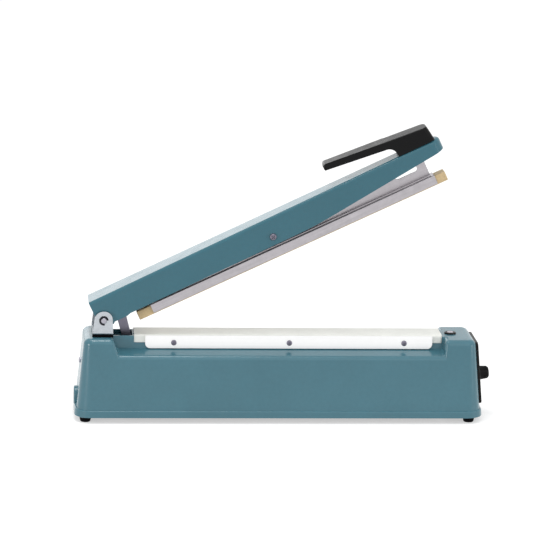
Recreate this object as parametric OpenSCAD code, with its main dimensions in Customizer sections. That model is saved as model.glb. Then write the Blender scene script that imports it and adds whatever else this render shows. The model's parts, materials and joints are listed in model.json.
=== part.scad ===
// Hand impulse heat sealer: a moulded base with a sealing ridge, and a sprung arm with a
// rocking pressure bar. Millimetres. The origin lies on the bench under the middle of the
// machine, +X runs towards the control panel and +Z is up. The arm is drawn open, at rest.

/* [Base housing] */
// Length of the walls where they meet the rim
base_len = 440; // [420:1:460]
// Width of the walls where they meet the rim
base_w = 84; // [80:1:94]
// Height of the two end blocks above the bench
base_h = 91; // [86:1:98]
// Place of the middle of the walls along the machine
base_mid = -5.5; // [-8:0.5:-3]
// Lean of each wall between the rim and the top
wall_lean = 7.5; // [2.5:0.5:9]
// Radius of the upright corners at the top
corner_r = 9; // [8:0.5:12]
// Radius of the edge round the top
edge_r = 6; // [3:0.5:7]
// Thickness of the housing walls
wall_t = 3; // [2.5:0.25:3.5]
// Height of the rim round the foot
rim_h = 7.5; // [6:0.5:9]
// How far the rim stands out at the ends
rim_end = 2.5; // [1.5:0.5:4]
// How far the rim stands out at the front and back
rim_side = 2; // [1:0.5:3]

/* [Saddle and ridge] */
// Distance of the saddle from the foot of the left wall
saddle_left = 45; // [41.5:0.5:47.5]
// Distance of the saddle from the foot of the right wall
saddle_right = 42; // [40.5:0.5:44.5]
// Depth of the saddle below the end blocks at the outer walls
saddle_drop = 18; // [16:0.5:21]
// Rise of the ledge from the walls to the ridge
ledge_rise = 4; // [2:0.5:5]
// Slope of the left block towards the saddle, across its height
block_slope = 7; // [5:0.5:10]
// Slope of the right block towards the saddle, across its height
panel_slope = 1.5; // [0:0.5:3]
// Radius of the shoulder where the ledge meets the wall
shoulder_r = 3.5; // [2:0.5:5]
// Width of the ridge that carries the sealing strip
ridge_w = 32; // [30:0.5:36]
// Distance from the hinge pin to the near end of the lift tongue's pocket
pocket_near = 7; // [5:0.5:8]
// Distance from the hinge pin to the far end of the lift tongue's pocket
pocket_far = 31.5; // [30:0.5:33]

/* [Feet and bottom plate] */
// Height of the rim above the bench
foot_h = 6.5; // [5:0.5:8]
// Diameter of a rubber foot
foot_d = 13; // [11:0.5:14]
// Drop of the foot pads below the rim
pad_drop = 1.2; // [0.8:0.2:2]
// Thickness of the bottom plate
plate_t = 1.5; // [1:0.25:2]

/* [Sealing strip] */
// Distance of the release cloth from the pocket
cloth_left = 1.5; // [0.5:0.5:5.5]
// Distance of the release cloth from the right block
cloth_right = 1; // [0.5:0.5:4.5]
// Depth of the cloth's skirts below its top
skirt_h = 9; // [8:0.5:12]
// Thickness of the release cloth
cloth_t = 0.4; // [0.3:0.05:0.6]
// Thickness of the insulating bed
bed_t = 1.25; // [1.25:0.25:2.25]
// Width of the heating ribbon
ribbon_w = 5; // [2:0.5:8]
// Thickness of the heating ribbon
ribbon_t = 0.25; // [0.2:0.05:0.3]
// How much shorter than the cloth its strips are
strip_short = 22.5; // [17.5:0.5:35.5]
// Height of the cloth strips
strip_h = 14.4; // [12:0.2:14.6]
// Thickness of the cloth strips
strip_t = 1.5; // [1:0.25:2]
// Distance between the screws of a cloth strip
strip_pitch = 125.5; // [110:0.5:135]

/* [Hinge] */
// Distance of the hinge pin from the foot of the left wall
pivot_in = 28.5; // [26:0.5:29.5]
// Height of the hinge pin above the end block
pivot_rise = 18.5; // [18:0.25:22]
// Diameter of the hinge pin
pin_d = 6; // [5:0.5:7]
// Angle at which the arm stands open
open_angle = 26; // [20:0.5:28]
// Angle at which the arm stands when the pressure bar lies level over the cloth
closed_angle = 1.75; // [0.5:0.25:2.5]
// Angle by which the pressure bar hangs flatter than the open arm
hang_angle = 0.5; // [0:0.25:1]
// Inner spacing of the bracket ears
ear_gap = 44; // [43.5:0.25:46]
// Thickness of the bracket sheet
ear_t = 2; // [1.5:0.25:2.5]
// Thickness of the gasket under the bracket
gasket_t = 2.5; // [2:0.25:3]

/* [Arm] */
// Reach of the arm from the hinge pin to its tip
arm_reach = 410; // [405:1:425]
// Width of the arm at the hinge
arm_w0 = 42; // [40:0.5:42]
// Width of the arm at its round tip
arm_w1 = 26; // [25:0.5:30]
// Height of the arm's top above the hinge pin
arm_top = 24; // [23:0.25:28]
// Thickness of the arm's sheet
arm_t = 2; // [1.5:0.25:2.25]
// Radius of the arm's long top edges
arm_edge = 3.5; // [2.5:0.5:5]
// Place where the flange starts to rise towards the tip
arm_bend = 250; // [230:1:260]
// Width of the lift tongue
tongue_w = 10.4; // [9:0.2:11]
// Thickness of the lift tongue
tongue_t = 3; // [2:0.5:4]

/* [Return spring] */
// Outer diameter of the return spring
spring_d = 9.4; // [8:0.2:11]
// Diameter of the spring wire
wire_d = 1.4; // [1.2:0.1:1.6]
// Curls of the return spring
spring_turns = 24; // [16:1:26]

/* [Pressure bar] */
// Place of the rocking bolt along the arm
bolt_u = 203; // [195:1:215]
// Height of the rocking bolt above the hinge pin
bolt_v = 3.5; // [2:0.5:8]
// Diameter of the rocking bolt
bolt_d = 5; // [4:0.5:6]
// Near end of the silicone strip along the arm
rubber_u0 = 34.5; // [34:0.5:40]
// Far end of the silicone strip along the arm
rubber_u1 = 400.5; // [398:0.5:406]
// Silicone standing out past the near end of the channel
rubber_over = 17; // [10:0.5:20]
// Silicone standing out past the far end of the channel
rubber_far = 12; // [8:0.5:20]
// Gap between the closed bar and the release cloth
closed_gap = 1.15; // [1:0.05:1.5]
// Height of the silicone under the channel
rubber_lip = 1.2; // [1:0.2:4]
// Height of the channel
channel_h = 10; // [6:0.5:11]
// Width of the channel
channel_w = 19; // [16:0.5:20]
// Thickness of the carrier web
web_t = 2.5; // [2:0.25:3]

/* [Handle] */
// Near end of the handle's paddle along the arm
grip_u0 = 283; // [280:1:300]
// Near face of the block that stands on the arm
block_u0 = 362; // [358:1:372]
// Far end of the block on the arm
block_u1 = 405; // [402:0.5:409]
// Clearance between the arm and the paddle's far underside
grip_gap = 11.5; // [10:0.5:22]
// Thickness of the paddle
grip_t = 7; // [5:0.5:9]
// Width of the paddle's free end
grip_w0 = 19; // [16:0.5:24]
// Width of the handle over its block
grip_w1 = 26; // [24:0.5:26]

/* [Controls] */
// Width of the control panel
panel_w = 54; // [44:1:56]
// Height of the control panel
panel_h = 69; // [60:1:70]
// Thickness of the control panel
panel_t = 3; // [2:0.25:4]
// Height of the panel's middle above the bench
panel_z = 52.5; // [51:0.5:56]
// Height of the timer knob above the bench
knob_z = 46; // [44:0.2:52]
// Diameter of the timer knob
knob_d = 15.5; // [14.5:0.5:20]
// Length of the timer knob
knob_len = 13; // [10:0.5:16]
// Height of the indicator lamp above the bench
lamp_z = 74; // [68:0.5:78]
// Distance of the switch button from the saddle
switch_in = 10.5; // [10.5:0.5:17.5]
// Diameter of the switch button
button_d = 7; // [6:0.25:8]
// How far the switch button stands out of the block
button_proud = 2.2; // [2:0.1:2.3]
// Travel of the switch button
button_travel = 2; // [1:0.25:2]
// Height of the cord gland above the bench
gland_z = 22; // [22:0.5:30]
// Diameter of the hole for the cord
cord_d = 8; // [6:0.5:9]

/* [Hidden] */

// Finish colours
paint = [0.30, 0.46, 0.52];
steel = [0.72, 0.71, 0.75];
dark_steel = [0.35, 0.35, 0.37];
black = [0.07, 0.07, 0.08];
rubber = [0.10, 0.10, 0.11];
white = [0.95, 0.95, 0.94];
tan_rubber = [0.78, 0.69, 0.50];
copper = [0.70, 0.40, 0.22];
brass = [0.80, 0.65, 0.30];
board_green = [0.10, 0.35, 0.20];
lamp_red = [0.75, 0.08, 0.06];
phenolic = [0.45, 0.30, 0.18];

// Fits shared by all pieces
run_gap = 0.05;
seat_gap = 0.1;
past = 1;
arc_steps = 8;
round_fn = 48;

// Screw sizes
screw_d = 3;
screw_head_d = 6;
screw_head_h = 2;
pilot_d = screw_d + 2 * run_gap;

// Housing levels and corners
rim_z = foot_h + rim_h;
wall_rate = wall_lean / (base_h - rim_z);
wall_angle = atan(wall_rate);
wall_x0 = base_mid - base_len / 2;
wall_x1 = base_mid + base_len / 2;
saddle_x0 = wall_x0 + saddle_left;
saddle_x1 = wall_x1 - saddle_right;
pivot_x = wall_x0 + pivot_in;
pocket_x0 = pivot_x + pocket_near;
pocket_x1 = pivot_x + pocket_far;
cloth_x0 = pocket_x1 + cloth_left;
cloth_x1 = saddle_x1 - cloth_right;
switch_x = saddle_x1 + switch_in;
corner_foot = corner_r + wall_lean;
corner_x0 = wall_x0 + corner_foot;
corner_x1 = wall_x1 - corner_foot;
corner_y = base_w / 2 - corner_foot;
rim_edge = 2;
rim_lean = 0.6;
ledge_z = base_h - saddle_drop;
ceiling_z = ledge_z - wall_t;
block_ceiling_z = base_h - wall_t;
ridge_in = ridge_w / 2 - wall_t;
ledge_top_z = ledge_z + ledge_rise;
ledge_y = wall_y(ledge_z);
ridge_foot_r = 0.8;
block_in_y = corner_y;

// Bottom plate, bosses and feet
plate_z = foot_h + plate_t;
plate_fit = 0.4;
foot_in = 6.5;
foot_left = 7;
foot_right = 4;
pad_d = foot_d + 3;
pad_top_z = rim_z;
stem_d = 5;
stem_len = 5;
boss_d = 8;
boss_in_x = 26;
boss_in_y = 7;
boss_depth = 12;

// Sealing strip levels
bed_x0 = cloth_x0 + 4;
bed_x1 = cloth_x1 - 4;
bed_w = ridge_w - 1.2;
bed_z = base_h + bed_t;
ribbon_z = bed_z + ribbon_t;
cloth_z = ribbon_z + seat_gap + cloth_t;
cloth_half = ridge_w / 2 + seat_gap + cloth_t;
cloth_bend_r = 2.4;
strip_shift = 0.75;
strip_mid = (cloth_x0 + cloth_x1) / 2 + strip_shift;
strip_len = cloth_x1 - cloth_x0 - strip_short;
strip_over = 1;
strip_z0 = base_h + strip_over - strip_h;
strip_r = 5.5;
strip_y = cloth_half + seat_gap;
strip_screw_z = strip_z0 + strip_h * 0.45;
tail_in = 7;
tail_slot = 1.2;
tail_w = ribbon_w + 1;
terminal_len = 12;
terminal_w = 10;
terminal_gap = 0.6;

// Hinge
pivot_z = base_h + pivot_rise;
gasket_z = base_h + gasket_t;
bracket_z = gasket_z + ear_t;
bracket_back = 12;
bracket_front = 10.3;
ear_back = 9;
ear_top = 10;
ear_r = 8.6;
ear_out = ear_gap / 2 + ear_t;
clip_t = 0.9;
clip_d = pin_d + 3.8;
pin_half = ear_out + clip_t + 1.2;
washer_d = pin_d + 6;
bracket_screw_x = pivot_x - 1;
bracket_screw_y = 15;

// Arm, drawn level in its own frame with the hinge pin at the origin
arm_u0 = -6.8;
tip_r = arm_w1 / 2;
tip_u = arm_reach - tip_r;
arm_low = -14;
arm_in_top = arm_top - arm_t;
flange_v = -5.6;
lobe_v = -6.8;
lobe_r = 6;
lobe_low = -8.4;
lobe_u1 = 8;
notch_u0 = 25;
notch_u1 = 29;
tip_v = 10.2;
bend_r = 400;
arm_rate = (arm_w0 - arm_w1) / 2 / (tip_u - arm_u0);

// Lift tongue and return spring
tongue_lean = 11;
tongue_ref_u = 17.8;
tongue_ref_v = -8;
tongue_low = -46;
tongue_r = 3;
hook_v = -40;
hook_fit = 2.2;
hook_d = wire_d + hook_fit;
hook_in = 2.4;
hook_u = tongue_at(hook_v) + hook_in;
hook_x = pivot_x + hook_u * cos(open_angle) - hook_v * sin(open_angle);
hook_z = pivot_z + hook_u * sin(open_angle) + hook_v * cos(open_angle);
terminal_h = block_ceiling_z - hook_z - wire_d / 2 - terminal_gap;
spring_reach = 76;
anchor_x = hook_x + spring_reach;
anchor_w = 9;
anchor_t = 3;
anchor_top_t = 2;
anchor_top_w = 14;
anchor_low_z = hook_z - 5;
anchor_in = 3;
anchor_hook_x = anchor_x - anchor_w / 2 + anchor_in;
coil_r = (spring_d - wire_d) / 2;
hook_reach = 9;
curl_rings = 8;
wire_sides = 6;

// Pressure bar levels, drawn level in its own frame with the hinge pin at the origin.
// The bar rocks on its bolt as the arm closes, and then lies level over the cloth.
bar_bolt_u = bolt_u * cos(hang_angle) - bolt_v * sin(hang_angle);
bar_bolt_v = bolt_u * sin(hang_angle) + bolt_v * cos(hang_angle);
closed_bolt_z = pivot_z + bolt_u * sin(closed_angle) + bolt_v * cos(closed_angle);
rubber_v = bar_bolt_v + cloth_z + closed_gap - closed_bolt_z;
channel_v0 = rubber_v + rubber_lip;
channel_v1 = channel_v0 + channel_h;
channel_t = 1.2;
channel_u0 = rubber_u0 + rubber_over;
channel_u1 = rubber_u1 - rubber_far;
rubber_w = channel_w - 2 * channel_t - 2 * seat_gap;
web_near = 8;
web_far = 3.5;
web_fit = 5;
web_u0 = channel_u0 + web_near;
web_u1 = channel_u1 - web_far;
web_v = arm_in_top - web_fit;
web_foot_t = 1.5;
web_foot_w = 12;
slot_u0 = web_u1 - 36;
slot_u1 = web_u1 - 10;
slot_v0 = channel_v1 + 10.5;
slot_v1 = slot_v0 + 8;
slot_r = 3;
bolt_y = arm_half(bolt_u);
bolt_head_d = bolt_d + 2.5;
bolt_head_h = 2.4;
bolt_seat = 0.15;
nut_d = bolt_d * 1.9;
nut_h = 4;
spacer_d = bolt_d + 3.6;
spacer_gap = 0.2;

// Handle
grip_fall = 8;
grip_v0 = arm_top + grip_gap + grip_fall;
grip_v1 = arm_top + grip_gap;
grip_root_r = 9;
grip_back = 2.5;
grip_top_v1 = grip_v1 + grip_t * 0.75;
grip_top_v0 = grip_v0 + grip_t;
handle_screw_u = block_u0 + 20;
handle_screw_y = 6.4;
handle_screw_len = 12;
grip_nose_r = 3;
grip_flank_r = 60;
grip_corner_r = 6;

// Controls
panel_r = 4;
pot_d = 17;
pot_len = 9;
bush_d = 7;
bush_out = 2.2;
pot_nut_d = 11;
pot_nut_h = 2;
shaft_d = 6;
shaft_in = 6;
knob_gap = 0.4;
knob_cap = 2;
knob_hollow_d = pot_nut_d + 1;
knob_hollow = 2.8;
board_w = 46;
board_h = 40;
board_t = 1.6;
lamp_d = 5;
lamp_rim = 0.9;
bezel_d = button_d + 6;
bezel_h = 1.7;
barrel_d = button_d + 3;
barrel_low_z = base_h - 9;
button_flange_t = 1.5;
button_flange_d = button_d + 2.4;
switch_top_z = barrel_low_z - button_flange_t - button_travel - 0.3;
switch_len = 19;
switch_w = 7;
switch_h = 10;
switch_strap_t = 1.2;
switch_strap_w = 9;
boss_inlet_w = 20;
boss_inlet_z = gland_z + 9;
boss_inlet_r = 9.5;
gland_flange_d = cord_d + 7;
gland_d = cord_d + 3;
gland_flange_t = 1.3;
gland_len = gland_flange_t + rim_end + wall_t + past;
end_screw_z = 60;

// Transformer
core_x = 60;
core_l = 66;
core_h = 55;
core_w = 33;
core_leg = 11;
coil_fit = 0.3;
coil_out = 9;
coil_corner = 3;
strap_t = 1.2;
strap_w = 18;
strap_foot = 13;

// Housing wall half width at a height
function wall_y(z) = base_w / 2 - wall_rate * (z - rim_z);
// End wall places at a height
function wall_x_left(z) = wall_x0 + wall_rate * (z - rim_z);
function wall_x_right(z) = wall_x1 - wall_rate * (z - rim_z);
// Half width of the arm at a place along it
function arm_half(u) = arm_w0 / 2 - arm_rate * (u - arm_u0);
// Middle of the lift tongue at a height in the arm's frame
function tongue_at(v) = tongue_ref_u + (v - tongue_ref_v) * tan(tongue_lean);

function unit(p) = p / norm(p);
function turn(a) = a - 360 * floor((a + 180) / 360);
// Points of the arc that rounds the corner c between its neighbours a and b
function corner_arc(a, c, b, r) =
    let (
        to_a = unit(a - c),
        to_b = unit(b - c),
        half = acos(to_a * to_b) / 2,
        mid = c + unit(to_a + to_b) * r / sin(half),
        from_p = c + to_a * r / tan(half) - mid,
        to_p = c + to_b * r / tan(half) - mid,
        start = atan2(from_p.y, from_p.x),
        sweep = turn(atan2(to_p.y, to_p.x) - start)
    )
    [for (i = [0 : arc_steps])
        mid + r * [cos(start + sweep * i / arc_steps), sin(start + sweep * i / arc_steps)]];
// Outline with each corner rounded by its own radius
function rounded(points, radii) =
    let (n = len(points))
    [for (i = [0 : n - 1])
        each (radii[i] > 0
            ? corner_arc(points[(i + n - 1) % n], points[i], points[(i + 1) % n], radii[i])
            : [points[i]])];
// Rectangle with one radius on all corners
function round_box(x0, x1, y0, y1, r) =
    rounded([[x0, y0], [x1, y0], [x1, y1], [x0, y1]], [r, r, r, r]);
// Half section of a leaning wall: its foot radius, levels, lean and edge radius
function wall_section(foot, z0, z1, lean, edge) =
    rounded([[0, z0], [foot, z0], [foot - lean, z1], [0, z1]], [0, 0, edge, 0]);

// Extrude an outline of Y and Z along X
module along_x(x0, x1) {
    translate([x0, 0, 0])
        rotate([90, 0, 90])
            linear_extrude(x1 - x0)
                children();
}

// Extrude an outline of X and Z along Y
module along_y(y0, y1) {
    translate([0, y1, 0])
        rotate([90, 0, 0])
            linear_extrude(y1 - y0)
                children();
}

// Round bar or hole across the machine
module rod_y(x, z, d, y0, y1) {
    translate([x, y1, z])
        rotate([90, 0, 0])
            cylinder(d = d, h = y1 - y0, $fn = round_fn);
}

// Put a piece of the arm where the open arm stands
module on_arm() {
    translate([pivot_x, 0, pivot_z])
        rotate([0, -open_angle, 0])
            children();
}

// Put a piece of the pressure bar where it hangs in the open arm
module on_bar() {
    translate([pivot_x, 0, pivot_z])
        rotate([0, hang_angle - open_angle, 0])
            children();
}

// Put a piece on the right end wall, its own Z pointing out of the wall
module on_right_wall(z) {
    translate([wall_x_right(z), 0, z])
        rotate([0, 90 - wall_angle, 0])
            children();
}

// Put a piece on the left end wall, its own Z pointing out of the wall
module on_left_wall(z) {
    translate([wall_x_left(z), 0, z])
        rotate([0, wall_angle - 90, 0])
            children();
}

// Pan head screw, its head standing on the level of its own origin
module pan_screw(shank) {
    rotate_extrude($fn = round_fn)
        polygon(rounded(
            [[0, 0], [screw_head_d / 2, 0], [screw_head_d / 2, screw_head_h], [0, screw_head_h]],
            [0, 0, screw_head_h * 0.6, 0]));
    translate([0, 0, -shank])
        cylinder(d = screw_d, h = shank, $fn = round_fn);
}

// Flat plate with round corners, lying on the level z
module round_plate(x0, x1, half, r, z, t) {
    translate([0, 0, z])
        linear_extrude(t)
            polygon(round_box(x0, x1, -half, half, r));
}

// Box with leaning walls, round upright corners and a rounded top edge
module lean_box(x0, x1, half, z0, z1, lean, foot, edge) {
    section = wall_section(foot, z0, z1, lean, edge);
    side = half - foot;
    outer = [for (p = section) if (p.x > 0) p];
    last = len(outer) - 1;
    along_x(x0 + foot, x1 - foot)
        polygon(concat(
            [for (p = outer) [side + p.x, p.y]],
            [[side, z1], [-side, z1]],
            [for (i = [0 : last]) [-side - outer[last - i].x, outer[last - i].y]]));
    along_y(-side, side)
        polygon(concat(
            [for (p = outer) [x1 - foot + p.x, p.y]],
            [[x1 - foot, z1], [x0 + foot, z1]],
            [for (i = [0 : last]) [x0 + foot - outer[last - i].x, outer[last - i].y]]));
    for (c = [[x1 - foot, side, 0], [x0 + foot, side, 90], [x0 + foot, -side, 180],
              [x1 - foot, -side, 270]])
        translate([c.x, c.y, 0])
            rotate([0, 0, c.z])
                rotate_extrude(angle = 90, $fn = round_fn)
                    polygon(section);
}

// Places of the four feet and of the four bottom screws
foot_places = [for (x = [corner_x0 - foot_left, corner_x1 + foot_right], s = [-1, 1])
    [x, s * (corner_y + foot_in)]];
boss_places = [for (x = [corner_x0 + boss_in_x, corner_x1 - boss_in_x], s = [-1, 1])
    [x, s * (corner_y + foot_in - boss_in_y + 2)]];
strip_screw_places = [for (i = [-1 : 1]) strip_mid + i * strip_pitch];

// Space cut away over one ledge, on the side of +Y
module saddle_cut() {
    high = base_h + past;
    far = base_w;
    drop = ledge_z - wall_t * 4;
    span = base_h - ledge_z;
    left_rate = block_slope / span;
    right_rate = panel_slope / span;
    intersection() {
        along_x(wall_x0, wall_x1)
            polygon(concat(
                [[ridge_w / 2, high]],
                corner_arc([ridge_w / 2, high], [ridge_w / 2, ledge_top_z],
                    [ledge_y, ledge_z], ridge_foot_r),
                corner_arc([ridge_w / 2, ledge_top_z], [ledge_y, ledge_z],
                    [wall_y(rim_z), rim_z], shoulder_r),
                [[far, ledge_z - shoulder_r], [far, high]]));
        along_y(0, far)
            polygon([
                [saddle_x0 - left_rate * (high - ledge_z), high],
                [saddle_x0 - left_rate * (drop - ledge_z), drop],
                [saddle_x1 + right_rate * (drop - ledge_z), drop],
                [saddle_x1 + right_rate * (high - ledge_z), high]]);
    }
}

// Hollow inside the housing
module housing_cavity() {
    z0 = foot_h - past;
    half = wall_y(z0) - wall_t;
    lean = wall_rate * (ceiling_z - z0);
    foot = corner_foot - wall_t + wall_rate * (rim_z - z0);
    block_z0 = ceiling_z - past;
    lean_box(wall_x_left(z0) + wall_t, wall_x_right(z0) - wall_t, half, z0, ceiling_z,
        lean, foot, wall_t);
    ridge_x0 = saddle_x0 - block_slope - wall_t;
    ridge_x1 = saddle_x1 + panel_slope + wall_t;
    left_x = wall_x_left(base_h) + wall_t;
    right_x = wall_x_right(base_h) - wall_t;
    translate([left_x, -block_in_y, block_z0])
        cube([ridge_x0 - left_x, block_in_y * 2, block_ceiling_z - block_z0]);
    translate([ridge_x0 - past, -ridge_in, block_z0])
        cube([ridge_x1 - ridge_x0 + past * 2, ridge_in * 2, block_ceiling_z - block_z0]);
    translate([ridge_x1, -block_in_y, block_z0])
        cube([right_x - ridge_x1, block_in_y * 2, block_ceiling_z - block_z0]);
}

// Moulded boss round the cord gland on the left end
module inlet_boss() {
    along_x(wall_x0 - rim_end, wall_x_left(boss_inlet_z) + wall_t)
        polygon(rounded(
            [[-boss_inlet_w / 2, rim_z - past], [boss_inlet_w / 2, rim_z - past],
             [boss_inlet_w / 2, boss_inlet_z], [-boss_inlet_w / 2, boss_inlet_z]],
            [0, 0, boss_inlet_r, boss_inlet_r]));
}

module base_housing() {
    color(paint)
        difference() {
            union() {
                difference() {
                    union() {
                        lean_box(wall_x0, wall_x1, base_w / 2, rim_z, base_h,
                            wall_lean, corner_foot, edge_r);
                        lean_box(wall_x0 - rim_end, wall_x1 + rim_end, base_w / 2 + rim_side,
                            foot_h, rim_z, rim_lean, corner_foot + rim_side, rim_edge);
                        inlet_boss();
                    }
                    for (s = [0, 1])
                        mirror([0, s, 0])
                            saddle_cut();
                    housing_cavity();
                }
                for (p = foot_places)
                    translate([p.x, p.y, foot_h - pad_drop])
                        cylinder(d = pad_d, h = pad_top_z - foot_h, $fn = round_fn);
                for (p = boss_places)
                    translate([p.x, p.y, plate_z])
                        cylinder(d = boss_d, h = ceiling_z - plate_z + past, $fn = round_fn);
            }
            for (p = foot_places)
                translate([p.x, p.y, foot_h - pad_drop - past])
                    cylinder(d = stem_d + run_gap * 2, h = stem_len + past * 2, $fn = round_fn);
            for (p = boss_places)
                translate([p.x, p.y, plate_z - past])
                    cylinder(d = pilot_d, h = boss_depth + past, $fn = round_fn);
            translate([pocket_x0, -ridge_in, block_ceiling_z - past])
                cube([pocket_x1 - pocket_x0, ridge_in * 2, wall_t + past * 2]);
            for (x = [bed_x0 + tail_in, bed_x1 - tail_in])
                translate([x - tail_slot / 2, -tail_w / 2, block_ceiling_z - past])
                    cube([tail_slot, tail_w, wall_t + past * 2]);
            for (x = strip_screw_places)
                rod_y(x, strip_screw_z, pilot_d, -ridge_w, ridge_w);
            for (s = [-1, 1])
                translate([bracket_screw_x, s * bracket_screw_y, block_ceiling_z - past])
                    cylinder(d = pilot_d, h = wall_t + past * 2, $fn = round_fn);
            translate([anchor_x, 0, block_ceiling_z - past])
                cylinder(d = pilot_d, h = wall_t + past * 2, $fn = round_fn);
            translate([anchor_x, 0, base_h - screw_head_h])
                cylinder(d = screw_head_d + seat_gap * 2, h = screw_head_h + past, $fn = round_fn);
            translate([switch_x, 0, block_ceiling_z - past])
                cylinder(d = barrel_d + seat_gap, h = wall_t + past * 2, $fn = round_fn);
            on_right_wall(knob_z)
                translate([0, 0, -wall_t * 2])
                    cylinder(d = bush_d + run_gap * 2, h = wall_t * 3, $fn = round_fn);
            on_right_wall(lamp_z)
                translate([0, 0, -wall_t * 3])
                    cylinder(d = lamp_d + run_gap * 2, h = wall_t * 4, $fn = round_fn);
            on_left_wall(end_screw_z)
                translate([0, 0, -wall_t * 2])
                    cylinder(d = pilot_d, h = wall_t * 3, $fn = round_fn);
            translate([wall_x0 - rim_end - past, 0, gland_z])
                rotate([0, 90, 0]) {
                    cylinder(d = gland_d + run_gap * 2, h = rim_end + wall_t * 3, $fn = round_fn);
                    cylinder(d = gland_flange_d + run_gap * 2, h = past + gland_flange_t,
                        $fn = round_fn);
                }
        }
}

module bottom_plate() {
    half = wall_y(foot_h) - wall_t - plate_fit;
    x0 = wall_x_left(foot_h) + wall_t + plate_fit;
    x1 = wall_x_right(foot_h) - wall_t - plate_fit;
    color(dark_steel)
        difference() {
            round_plate(x0, x1, half, corner_foot - wall_t, foot_h, plate_t);
            for (p = foot_places)
                translate([p.x, p.y, foot_h - past])
                    cylinder(d = pad_d + plate_fit * 2, h = plate_t + past * 2, $fn = round_fn);
            for (p = boss_places)
                translate([p.x, p.y, foot_h - past])
                    cylinder(d = pilot_d, h = plate_t + past * 2, $fn = round_fn);
            for (s = [-1, 1])
                translate([core_x + s * (core_l / 2 + strap_t + strap_foot / 2), 0, foot_h - past])
                    cylinder(d = pilot_d, h = plate_t + past * 2, $fn = round_fn);
        }
}

module bottom_screws() {
    color(steel)
        for (p = boss_places)
            translate([p.x, p.y, foot_h])
                rotate([180, 0, 0])
                    pan_screw(boss_depth - past);
}

module rubber_feet() {
    top = foot_h - pad_drop;
    color(rubber)
        for (p = foot_places)
            translate([p.x, p.y, 0]) {
                rotate_extrude($fn = round_fn)
                    polygon(rounded(
                        [[0, 0], [foot_d / 2 - 1, 0], [foot_d / 2, top], [0, top]],
                        [0, 1, 0, 0]));
                translate([0, 0, top])
                    cylinder(d = stem_d, h = stem_len, $fn = round_fn);
            }
}

// Gland let into the boss, its flange level with the boss's face
module cord_gland() {
    color(black)
        translate([wall_x0 - rim_end, 0, gland_z])
            rotate([0, 90, 0])
                difference() {
                    union() {
                        cylinder(d = gland_flange_d, h = gland_flange_t, $fn = round_fn);
                        cylinder(d = gland_d, h = gland_len, $fn = round_fn);
                    }
                    translate([0, 0, -past])
                        cylinder(d = cord_d, h = gland_len + past * 2, $fn = round_fn);
                }
}

module end_screw() {
    color(steel)
        on_left_wall(end_screw_z)
            pan_screw(wall_t * 2);
}

module control_panel() {
    offset_lamp = (panel_z - lamp_z) / cos(wall_angle);
    offset_knob = (panel_z - knob_z) / cos(wall_angle);
    color(black)
        on_right_wall(panel_z)
            difference() {
                linear_extrude(panel_t)
                    polygon(round_box(-panel_h / 2, panel_h / 2, -panel_w / 2, panel_w / 2, panel_r));
                translate([offset_knob, 0, -past])
                    cylinder(d = bush_d + run_gap * 2, h = panel_t + past * 2, $fn = round_fn);
                translate([offset_lamp, 0, -past])
                    cylinder(d = lamp_d + run_gap * 2, h = panel_t + past * 2, $fn = round_fn);
            }
}

module indicator_lamp() {
    color(lamp_red)
        on_right_wall(lamp_z)
            translate([0, 0, -wall_t])
                rotate_extrude($fn = round_fn)
                    polygon(rounded(
                        [[0, 0], [lamp_d / 2, 0], [lamp_d / 2, wall_t + panel_t + lamp_rim],
                         [0, wall_t + panel_t + lamp_rim]],
                        [0, 0, lamp_rim, 0]));
}

module timer_pot() {
    color(dark_steel)
        on_right_wall(knob_z)
            difference() {
                union() {
                    translate([0, 0, -wall_t - pot_len])
                        cylinder(d = pot_d, h = pot_len, $fn = round_fn);
                    translate([0, 0, -wall_t - past])
                        cylinder(d = bush_d, h = wall_t + past + panel_t + bush_out, $fn = round_fn);
                }
                translate([0, 0, -wall_t - shaft_in])
                    cylinder(d = shaft_d + run_gap * 2, h = wall_t + shaft_in + panel_t * 2,
                        $fn = round_fn);
            }
}

module pot_nut() {
    color(steel)
        on_right_wall(knob_z)
            translate([0, 0, panel_t])
                difference() {
                    cylinder(d = pot_nut_d, h = pot_nut_h, $fn = 6);
                    translate([0, 0, -past])
                        cylinder(d = bush_d + run_gap * 2, h = pot_nut_h + past * 2, $fn = round_fn);
                }
}

module timer_board() {
    color(board_green)
        on_right_wall(knob_z)
            translate([-board_h / 2, -board_w / 2, -wall_t - pot_len - board_t])
                cube([board_h, board_w, board_t]);
}

// Relay and capacitor soldered on the timer board
module board_parts() {
    relay = [16, 15, 13];
    relay_at = [2, -18];
    can_d = 10;
    can_len = 14;
    can_at = [8, 12];
    color(dark_steel)
        on_right_wall(knob_z)
            translate([0, 0, -wall_t - pot_len - board_t]) {
                translate([relay_at.x - relay.x / 2, relay_at.y, -relay.z])
                    cube(relay);
                translate([can_at.x, can_at.y, -can_len])
                    cylinder(d = can_d, h = can_len, $fn = round_fn);
            }
}

module transformer_core() {
    window_h = core_h - core_leg * 2;
    color(dark_steel)
        difference() {
            translate([core_x - core_l / 2, -core_w / 2, plate_z])
                cube([core_l, core_w, core_h]);
            for (x = [core_x - core_leg * 2, core_x + core_leg])
                translate([x, -core_w, plate_z + core_leg])
                    cube([core_leg, core_w * 2, window_h]);
        }
}

module transformer_coil() {
    window_h = core_h - core_leg * 2;
    reach = core_leg * 2 - coil_fit;
    depth = core_w / 2 + coil_out;
    color(copper)
        translate([core_x, 0, plate_z + core_leg + coil_fit])
            difference() {
                linear_extrude(window_h - coil_fit * 2)
                    polygon(round_box(-reach, reach, -depth, depth, coil_corner));
                translate([-core_leg - coil_fit, -core_w / 2 - coil_fit, -past])
                    cube([(core_leg + coil_fit) * 2, core_w + coil_fit * 2, window_h + past * 2]);
            }
}

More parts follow.
